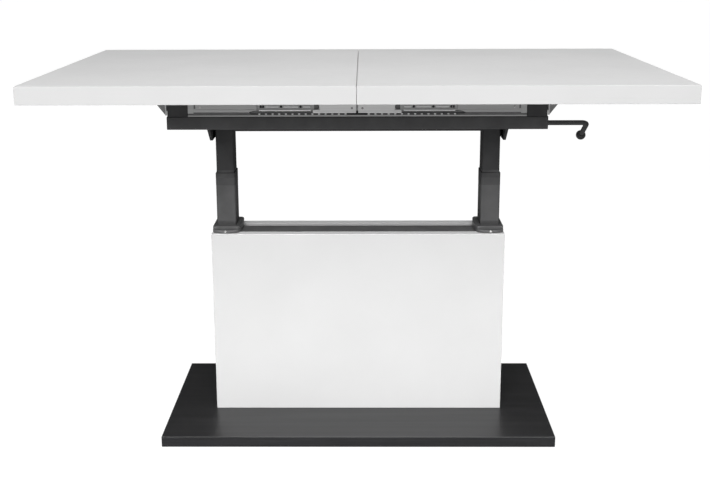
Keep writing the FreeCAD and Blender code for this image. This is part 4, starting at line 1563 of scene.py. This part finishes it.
@dataclass
class Columns(Assembly):
    """The telescopic columns: upper and middle stages, guide rings and collars."""

    wall: float = 1.5
    corner: float = 4.0
    corner_steps: int = 6
    rim_ease: float = 0.4
    ring_gap: float = 0.4
    ring_ease: float = 1.0
    ring_rim: float = 1.3
    upper_band: float = 5.6
    middle_band: float = 16.0
    band_proud: float = 0.15
    band_sink: float = 0.05
    band_gap: float = 0.3
    collar_length: float = 55.0
    collar_corner: float = 4.5
    neck_up: float = 6.0
    neck_ease: float = 1.0
    lip_bow: float = 11.0
    lip_height: float = 7.0
    lip_root: float = 1.0
    lip_round: float = 0.5
    lip_steps: int = 16
    boss_bow: float = 5.5
    screw_up: float = 4.4
    screw_r: float = 2.5
    screw_height: float = 1.4
    seam_r: float = 2.0
    seam_out: float = 0.3
    seam_down: float = 0.4
    seam_short: float = 4.0

    def build(self) -> None:
        """Shape the stages that show, and the mouldings round them."""
        for side in Side:
            self.stage(side, "upper_stage", "frame", DARK_STEEL)
            self.stage(side, "middle_stage", f"middle_{side.word}", STAGE_STEEL)
            self.ring(side)
            self.bands(side)
        self.collars()
        self.head_seams()

    def stage(self, side: Side, node: str, body: str, finish: Finish) -> None:
        """Shape one column tube with rounded corners.

        Args:
            side: end of the table.
            node: the stage's name in the frame, without its side.
            body: the body that it rides on.
            finish: its surface.
        """
        room, name = Extent.of(f"{node}_right"), f"{node}_{side.word}"
        shape = tube(room.low, room.high, Axis.Z, self.wall, self.corner, self.corner_steps)
        ease(shape, edges_at(shape, room.high.z), self.rim_ease, steps=1)
        self.sketch(f"column_{name}", body, finish, name).add(shape, mirrored(side))

    def ring(self, side: Side) -> None:
        """Shape the moulded guide ring on the middle stage, with an eased rim.

        Args:
            side: end of the table.
        """
        room, upper = Extent.of("stage_ring_right"), Extent.of("upper_stage_right")
        wall = (room.size.x - upper.size.x) / 2 - self.ring_gap
        shape = tube(room.low, room.high, Axis.Z, wall, self.corner, self.corner_steps)
        rim = [e for e in edges_at(shape, room.high.z) if all(self.on_outside(v.co, room) for v in e.verts)]
        ease(shape, rim, self.ring_ease, steps=3)
        name = side.word
        piece = self.sketch(f"guide_ring_{name}", f"middle_{name}", GREY_PLASTIC, f"stage_ring_{name}")
        piece.add(shape, mirrored(side))

    def on_outside(self, point: Vector, room: Extent) -> bool:
        """Return whether a point lies on the outline of a ring, not on its bore."""
        reach = min(point.x - room.low.x, room.high.x - point.x, point.y - room.low.y, room.high.y - point.y)
        return reach < self.ring_rim

    def bands(self, side: Side) -> None:
        """Shape the thin bands round the stages, next to the guide ring; the middle stage's band is a darker
        tone that paints shade at the stage's top.

        Args:
            side: end of the table.
        """
        ring = Extent.of("stage_ring_right").high.z
        upper, middle = Extent.of("upper_stage_right"), Extent.of("middle_stage_right")
        upper_ends = (ring + self.band_gap, ring + self.upper_band)
        middle_ends = (middle.high.z - self.middle_band, middle.high.z)
        proud = Vector((self.band_proud, self.band_proud, 0))
        for title, body, finish, room, (foot, head) in (
                ("upper_band", "frame", GREY_PLASTIC, upper, upper_ends),
                ("middle_band", f"middle_{side.word}", SHADE_BAND_STEEL, middle, middle_ends)):
            low = Vector((room.low.x, room.low.y, foot)) - proud
            high = Vector((room.high.x, room.high.y, head)) + proud
            shape = tube(low, high, Axis.Z, self.band_proud - self.band_sink, self.corner, self.corner_steps)
            self.sketch(f"{title}_{side.word}", body, finish).add(shape, mirrored(side))

    def collars(self) -> None:
        """Shape the two collars, each with a boss inside, and a bowed lip and a screw front and back."""
        room, stage = Extent.of("collars"), Extent.of("middle_stage_right")
        piece = self.sketch("column_collars", "pedestal", COLLAR_PLASTIC, "collars")
        heads = self.sketch("collar_screw_heads", "pedestal", BRIGHT_STEEL, "collar_screws")
        low = Vector((room.high.x - self.collar_length, room.low.y, room.low.z))
        high = room.high + Vector((0, 0, self.neck_up))
        rear, outer = Vector((low.x, high.y, low.z)), Vector((high.x, low.y, low.z))
        opening = stage.size / 2 + Vector((self.ring_gap, self.ring_gap, 0))
        spot = (stage.centre.x, low.y - self.lip_bow + self.lip_root, low.z + self.screw_up)
        for side in Side:
            piece.add(self.flange(low, high, stage.centre, opening), mirrored(side))
            piece.add(self.lip(rear, low, self.boss_bow, high.z - low.z - self.neck_ease), mirrored(side))
            for edge in Edge:
                place = mirrored(side, edge)
                piece.add(self.lip(low, outer, self.lip_bow, self.lip_height), place)
                head = screw_head(self.screw_r, self.screw_height, Recess.CROSS)
                heads.add(head, place @ turned(TO_FRONT, spot))

    def lip(self, start: Vector, end: Vector, bow: float, height: float) -> Mesh:
        """Return a bowed lip beside a collar, between two corners of its foot.

        Args:
            start: corner where the lip begins.
            end: corner where the lip ends, with the collar on the left hand.
            bow: how far the lip's middle stands out.
            height: height of the lip.

        Returns:
            The new mesh.
        """
        run = end - start
        out = run.cross(Axis.Z.value).normalized()
        turns = [math.pi * k / self.lip_steps for k in range(self.lip_steps + 1)]
        outline = [start + run * (1 - math.cos(turn)) / 2 + out * (bow * math.sin(turn) - self.lip_root)
                   for turn in turns]
        return prism(outline, (0, 0, height), self.lip_round)

    def flange(self, low: Vector, high: Vector, middle: Vector, opening: Vector) -> Mesh:
        """Return a collar's neck with the column's opening in it.

        Args:
            low: lowest corner of the neck.
            high: highest corner of the neck.
            middle: middle of the opening.
            opening: half the opening's size.

        Returns:
            The new mesh.
        """
        shape = block(low, high, self.collar_corner, steps=5, along=Axis.Z)
        ease(shape, facing(shape, Axis.Z.value)[0].edges, self.neck_ease, steps=3)
        ends = [facing(shape, Axis.Z.value)[0], facing(shape, -Axis.Z.value)[0]]
        rims = [list(face.edges) for face in ends]
        bmesh.ops.delete(shape, geom=ends, context="FACES_ONLY")
        walls: list[Line] = []
        for rim, z, way in zip(rims, (high.z, low.z), (1, -1)):
            spots = [(middle.x + sx * opening.x, middle.y + sy * opening.y, z)
                     for sx, sy in ((-1, -1), (1, -1), (1, 1), (-1, 1))]
            mouth = loop(shape, spots)
            bmesh.ops.triangle_fill(shape, use_beauty=True, edges=rim + mouth, normal=(0, 0, way))
            walls += mouth
        bmesh.ops.bridge_loops(shape, edges=walls)
        bmesh.ops.recalc_face_normals(shape, faces=shape.faces)
        return shape

    def head_seams(self) -> None:
        """Shape the weld seams between the upper stages and the head plates."""
        piece = self.sketch("column_head_welds", "frame", DARK_SEAM)
        room, out = Extent.of("upper_stage_right"), Vector((self.seam_out, self.seam_out, 0))
        low, high, z = room.low - out, room.high + out, room.high.z - self.seam_down
        near, end = low.x + self.seam_short, high.x - self.seam_short
        for side in Side:
            for y in (low.y, high.y):
                piece.add(weld_bead((near, y, z), (end, y, z), self.seam_r), mirrored(side))
            ends = [(high.x, y, z) for y in (low.y + self.seam_short, high.y - self.seam_short)]
            piece.add(weld_bead(*ends, self.seam_r), mirrored(side))


@dataclass
class Pedestal(Assembly):
    """The white box, the dark floor plate and what joins them."""

    band: float = 1.2
    band_round: float = 0.8
    end_thick: float = 4.0
    end_round: float = 0.4
    arris: float = 1.1
    arris_share: float = 0.9
    under_round: float = 0.05
    glide_r: float = 15.0
    glide_ease: tuple[float, float] = (0.8, 0.6)
    tie_wall: float = 2.0
    tie_corner: float = 2.0
    collar_length: float = 55.0
    trim_drop: float = 0.8
    trim_height: float = 4.0
    trim_back: float = 17.0
    trim_gap: float = 0.3
    trim_front: float = 0.2
    trim_round: float = 0.6

    def build(self) -> None:
        """Shape the box, plate, glides, tie and trim."""
        self.panels()
        self.ends()
        self.plate()
        self.glides()
        self.tie()
        self.trim()

    def panels(self) -> None:
        """Shape the front and rear panels with their edge bands."""
        room, lift = Extent.of("box_panel_front"), Vector((0, 0, self.band))
        for edge in Edge:
            name = edge.word
            board = self.sketch(f"box_{name}_board", "pedestal", SHADED_BOX_FACE, f"box_panel_{name}")
            for shape in banded_board(room.low, room.high - lift, Axis.Y, self.band, self.band_round):
                board.add(shape, mirrored(edge=edge))
            foot = (room.low.x, room.low.y, room.high.z - self.band)
            strip = block(foot, room.high, self.band_round, steps=3)
            # The top band takes the lighter copy: painted light under the top.
            self.sketch(f"box_{name}_top_band", "pedestal", LIT_BOX_BAND).add(strip, mirrored(edge=edge))

    def ends(self) -> None:
        """Shape the thin covers that close the box's ends."""
        room = Extent.of("box_ends")
        piece = self.sketch("box_end_covers", "pedestal", SHADED_BOX_FACE, "box_ends")
        for side in Side:
            low = Vector((room.high.x - self.end_thick, room.low.y, room.low.z))
            piece.add(block(low, room.high, self.end_round), mirrored(side))

    def plate(self) -> None:
        """Shape the floor plate with its edge band, painted darker as shade, and the band's eased top,
        painted lighter as a highlight.
        """
        room = Extent.of("floor_plate")
        rise, drop = Vector((0, 0, room.size.z - self.arris)), Vector((0, 0, self.arris))
        core, _ = banded_board(room.low, room.high, Axis.Z, self.band, self.band_round)
        _, ring = banded_board(room.low, room.high - drop, Axis.Z, self.band, self.under_round)
        _, arris = banded_board(room.low + rise, room.high, Axis.Z, self.band, self.arris * self.arris_share)
        self.sketch("floor_board", "pedestal", DARK_FACE, "floor_plate").add(core)
        self.sketch("floor_board_eased_edge", "pedestal", HIGHLIGHT_ARRIS).add(arris)
        self.sketch("floor_board_edge_band", "pedestal", SHADED_DARK_BAND).add(ring)

    def glides(self) -> None:
        """Shape the felt glides under the floor plate."""
        room = Extent.of("floor_glides")
        piece = self.sketch("felt_glides", "pedestal", GLIDE_FELT, "floor_glides")
        r, height, (inset, rise) = self.glide_r, room.size.z, self.glide_ease
        x, y = room.high.x - r, room.high.y - r
        for sx in (-1, 0, 1):
            for sy in (-1, 1):
                shape = lathe([(0, 0), (r - inset, 0), (r, rise), (r, height), (0, height)], steps=40)
                piece.add(shape, Matrix.Translation((sx * x, sy * y, room.low.z)))

    def tie(self) -> None:
        """Shape the dark tube that ties the two columns inside the box."""
        room = Extent.of("column_tie")
        shape = tube(room.low, room.high, Axis.X, self.tie_wall, self.tie_corner)
        self.sketch("column_tie_tube", "pedestal", DARK_STEEL, "column_tie").add(shape)

    def trim(self) -> None:
        """Shape the dark strip in the box's mouth, along the front panel between the collars."""
        panel = Extent.of("box_panel_front")
        end = Extent.of("collars").high.x - self.collar_length - self.trim_gap
        front, top = panel.high.y + self.trim_front, panel.high.z - self.trim_drop
        strip = block((-end, front, top - self.trim_height), (end, self.trim_back, top), self.trim_round)
        self.sketch("mouth_trim", "pedestal", TRIM_STEEL).add(strip)


@dataclass
class ReleaseLever(Assembly):
    """The cranked release rod with its ball knob, bushes and return spring."""

    rod_r: float = 5.25
    rod_gap: float = 0.1
    bend: float = 12.0
    bend_steps: int = 10
    ball_steps: int = 20
    ball_arc: int = 17
    neck_wall: float = 1.3
    neck_ease: float = 0.2
    neck_share: tuple[float, float] = (0.93, 0.99)
    bush_r: float = 7.0
    bush_depth: float = 2.0
    flange_r: float = 8.6
    flange_ends: tuple[float, float] = (0.2, 1.7)
    flange_ease: float = 0.5
    mouth_ease: float = 0.4
    wire_r: float = 0.8
    wire_gap: float = 0.3
    coils: int = 7
    coil_steps: int = 20
    coil_pitch: float = 2.1
    spring_out: float = 6.0
    axis: Vector = field(default_factory=lambda: Extent.of("shaft_bushes").centre, init=False)
    knob_at: Vector = field(default_factory=lambda: Extent.of("release_knob").centre, init=False)
    column: Extent = field(default_factory=lambda: Extent.of("upper_stage_right"), init=False)

    @property
    def elbow(self) -> Vector:
        """Return the point where the shaft's line meets the arm's."""
        return Vector((self.knob_at.x, self.axis.y, self.axis.z))

    def build(self) -> None:
        """Shape the rod, knob, bushes and spring."""
        self.rod()
        self.knob()
        self.bushes()
        self.spring()

    def rod(self) -> None:
        """Shape the round bar, bent into a crank at its right end."""
        start = Vector((Extent.of("release_shaft").low.x, self.axis.y, self.axis.z))
        arm = (self.knob_at - self.elbow).normalized()
        run = self.elbow - Axis.X.value * self.bend
        shape = bmesh.new()
        bmesh.ops.create_circle(shape, cap_ends=True, segments=24, radius=self.rod_r,
                                matrix=turned(Axis.X.value, start))
        tip = push(shape, shape.faces[:], run - start)
        geom = [*tip, *{e for f in tip for e in f.edges}, *{v for f in tip for v in f.verts}]
        turn = bmesh.ops.spin(shape, geom=geom, cent=run + arm * self.bend, axis=Axis.X.value.cross(arm),
                              angle=math.pi / 2, steps=self.bend_steps)
        push(shape, only(turn["geom_last"], Face), self.knob_at - (self.elbow + arm * self.bend))
        bmesh.ops.remove_doubles(shape, verts=shape.verts, dist=WELD_MM)
        bmesh.ops.recalc_face_normals(shape, faces=shape.faces)
        self.sketch("release_rod", "lever", FRAME_STEEL, "release_shaft").add(shape)

    def knob(self) -> None:
        """Shape the ball knob with the short neck that grips the rod."""
        r, wall = Extent.of("release_knob").size.x / 2, self.rod_r + self.neck_wall
        turns = [math.pi * k / self.ball_steps for k in range(self.ball_arc)]
        foot, head = (r * share for share in self.neck_share)
        neck = [(wall, foot), (wall - self.neck_ease, head), (self.rod_r + self.rod_gap, head)]
        piece = self.sketch("ball_knob", "lever", BLACK_PLASTIC, "release_knob")
        along = (self.elbow - self.knob_at).normalized()
        profile = [(r * math.sin(turn), -r * math.cos(turn)) for turn in turns] + neck
        piece.add(lathe(profile, steps=40), turned(along, self.knob_at))

    def bushes(self) -> None:
        """Shape the flanged bushes that carry the rod in the column heads."""
        piece = self.sketch("rod_bushes", "frame", BLACK_PLASTIC, "shaft_bushes")
        bore, (low, high) = self.rod_r + self.rod_gap, self.flange_ends
        profile = [(bore, -self.bush_depth), (self.bush_r, -self.bush_depth), (self.bush_r, low),
                   (self.flange_r, low), (self.flange_r, high - self.flange_ease),
                   (self.flange_r - self.flange_ease, high), (bore + self.mouth_ease, high),
                   (bore, high - self.mouth_ease), (bore, -self.bush_depth)]
        for x, out in ((self.column.high.x, 1), (self.column.low.x, -1), (-self.column.low.x, 1)):
            piece.add(lathe(profile, steps=32), turned(Axis.X.value * out, (x, self.axis.y, self.axis.z)))

    def spring(self) -> None:
        """Shape the wire spring that turns the lever back."""
        radius, steps = self.rod_r + self.wire_r + self.wire_gap, self.coils * self.coil_steps
        rise = self.coil_pitch * self.wire_r * self.coils / steps
        shape = bmesh.new()
        place = Matrix.Translation((radius, 0, 0)) @ Matrix.Rotation(math.pi / 2, 4, "X")
        bmesh.ops.create_circle(shape, cap_ends=True, segments=10, radius=self.wire_r, matrix=place)
        bmesh.ops.spin(shape, geom=[*shape.verts, *shape.edges, *shape.faces], cent=(0, 0, 0), axis=(0, 0, 1),
                       angle=math.tau * self.coils, steps=steps, dvec=(0, 0, rise))
        bmesh.ops.remove_doubles(shape, verts=shape.verts, dist=WELD_MM)
        bmesh.ops.recalc_face_normals(shape, faces=shape.faces)
        spot = (self.column.low.x - self.spring_out, self.axis.y, self.axis.z)
        self.sketch("lever_spring", "lever", BRIGHT_STEEL).add(shape, turned(-Axis.X.value, spot))


@dataclass(frozen=True)
class Lamp:
    """One soft panel light, in metres."""

    name: str
    spot: Point
    aim: Point
    size: tuple[float, float]
    power: float

    def hang(self) -> None:
        """Hang the panel and turn it to its aim."""
        data = bpy.data.lights.new(self.name, "AREA")
        data.shape = "RECTANGLE"
        data.size, data.size_y = self.size
        data.energy = self.power
        lamp = bpy.data.objects.new(self.name, data)
        lamp.location = self.spot
        lamp.rotation_euler = (Vector(self.aim) - Vector(self.spot)).to_track_quat("-Z", "Y").to_euler()
        lamp.visible_camera = False
        bpy.context.scene.collection.objects.link(lamp)


@dataclass
class Studio:
    """Pale floor, soft light and the camera of the photograph."""

    image: tuple[int, int] = (710, 480)
    sensor: float = 36.0
    focal_px: float = 1079.42
    axis_row: float = 200.0
    clip_end: float = 200.0
    eye: Point = (13.4, -2225.0, 988.9)
    pitch: float = 13.144
    yaw: float = -0.509
    roll: float = -0.198
    floor_reach: float = 40.0
    floor_grey: float = 0.08
    floor_roughness: float = 0.9
    sky_front: float = 0.08
    sky_back: float = 0.04
    sky_reach: tuple[float, float] = (-0.8, 0.8)
    horizon: tuple[float, float] = (-0.02, 0.0)
    bounce_front: float = 0.52
    bounce_back: float = 1.7
    bounce_reach: tuple[float, float] = (0.25, 0.75)
    lamps: tuple[Lamp, ...] = (
        Lamp("front_panel_light", (-0.15, -3.7, 2.75), (0.0, 0.0, 0.4), (3.0, 2.0), 160.0),
        Lamp("top_panel_light", (0.3, -0.5, 3.2), (0.0, 0.0, 0.7), (3.0, 3.0), 56.0),
        Lamp("low_fill_light", (0.0, -0.64, 0.06), (0.0, 0.0, 0.1), (1.6, 0.1), 4.4),
    )

    def build(self) -> None:
        """Set up the floor, lights and camera."""
        self.floor()
        self.sky()
        for lamp in self.lamps:
            lamp.hang()
        self.camera()

    def floor(self) -> None:
        """Lay a wide pale floor that turns up into a backdrop far away on all sides."""
        shape = bmesh.new()
        bmesh.ops.create_circle(shape, cap_ends=True, segments=96, radius=self.floor_reach)
        wall = bmesh.ops.extrude_edge_only(shape, edges=shape.edges[:])["geom"]
        bmesh.ops.translate(shape, verts=only(wall, Vert), vec=(0, 0, self.floor_reach))
        data = bpy.data.meshes.new("studio_floor")
        shape.to_mesh(data)
        shape.free()
        floor = bpy.data.objects.new("studio_floor", data)
        bpy.context.scene.collection.objects.link(floor)
        data.materials.append(self.floor_paint())
        floor.visible_diffuse = False
        floor.visible_glossy = False

    def floor_paint(self) -> bpy.types.Material:
        """Return the floor's even white, with a painted shadow: its glow is turned off under the plate, so
        the gap there shows dark.

        Returns:
            The material.
        """
        paint = bpy.data.materials.new("pale_floor")
        paint.use_nodes = True
        nodes = Nodes(paint.node_tree)
        parts, reach = nodes.split(nodes.place()), Extent.of("floor_plate").high * MM
        # Painted shadow: the floor glows only outside the plate's outline and stays dark under it.
        outside_painted_shadow = [nodes.maths("GREATER_THAN", nodes.maths("ABSOLUTE", parts[k]), reach[k]) for k in (0, 1)]
        nodes.surface({"Base Color": (self.floor_grey, self.floor_grey, self.floor_grey, 1.0),
                       "Roughness": self.floor_roughness, "Specular IOR Level": 0.0,
                       "Emission Color": WHITE, "Emission Strength": nodes.maths("MAXIMUM", *outside_painted_shadow)})
        return paint

    def sky(self) -> None:
        """Light the studio softly from above, and from below with the light that a pale floor sends back."""
        world = bpy.data.worlds.new("studio")
        bpy.context.scene.world = world
        world.use_nodes = True
        nodes = Nodes(world.node_tree)
        _, depth, height = nodes.split(nodes.place("Generated"))
        above = nodes.spread(depth, self.sky_front, self.sky_back, *self.sky_reach)
        below = nodes.spread(height, 1.0, 0.0, *self.horizon)
        bounce = nodes.spread(depth, self.bounce_front, self.bounce_back, *self.bounce_reach)
        total = nodes.maths("MAXIMUM", above, nodes.maths("MULTIPLY", below, bounce))
        light = nodes.add("ShaderNodeBackground", {"Color": WHITE, "Strength": total})
        nodes.add("ShaderNodeOutputWorld", {"Surface": light.outputs["Background"]})

    def camera(self) -> None:
        """Stand the camera where the photograph was taken from."""
        data = bpy.data.cameras.new("photo_camera")
        width, height = self.image
        data.sensor_width = self.sensor
        data.sensor_fit = "HORIZONTAL"
        data.lens = self.focal_px / width * self.sensor
        data.shift_y = (self.axis_row - height / 2) / width
        data.clip_end = self.clip_end
        camera = bpy.data.objects.new("photo_camera", data)
        turn = Matrix.Rotation(math.radians(-self.yaw), 4, "Z")
        turn @= Matrix.Rotation(math.radians(90.0 - self.pitch), 4, "X")
        turn @= Matrix.Rotation(math.radians(self.roll), 4, "Z")
        camera.matrix_world = Matrix.Translation(Vector(self.eye) * MM) @ turn
        bpy.context.scene.collection.objects.link(camera)
        bpy.context.scene.camera = camera
        bpy.context.scene.view_settings.view_transform = "Standard"


def dress_carried_nodes() -> None:
    """Give every node of the frame the finish of its slot."""
    for row in frame["record"]["subparts"]:
        node = frame["nodes"][row["node"]]
        node.data.materials.clear()
        node.data.materials.append(CARRIED_OVER[row["material_slot"]].material())


def main() -> None:
    """Build and dress the table, then the studio round it."""
    logging.basicConfig(level=logging.INFO, format="%(message)s")
    dress_carried_nodes()
    for assembly in (Tabletop(), DrawSlides(), SteelFrame(), Columns(), Pedestal(), ReleaseLever()):
        assembly.build()
        pieces = assembly.dress()
        log.info("%s: %d pieces", type(assembly).__name__, len(pieces))
    Studio().build()


if __name__ == "__main__":
    main()
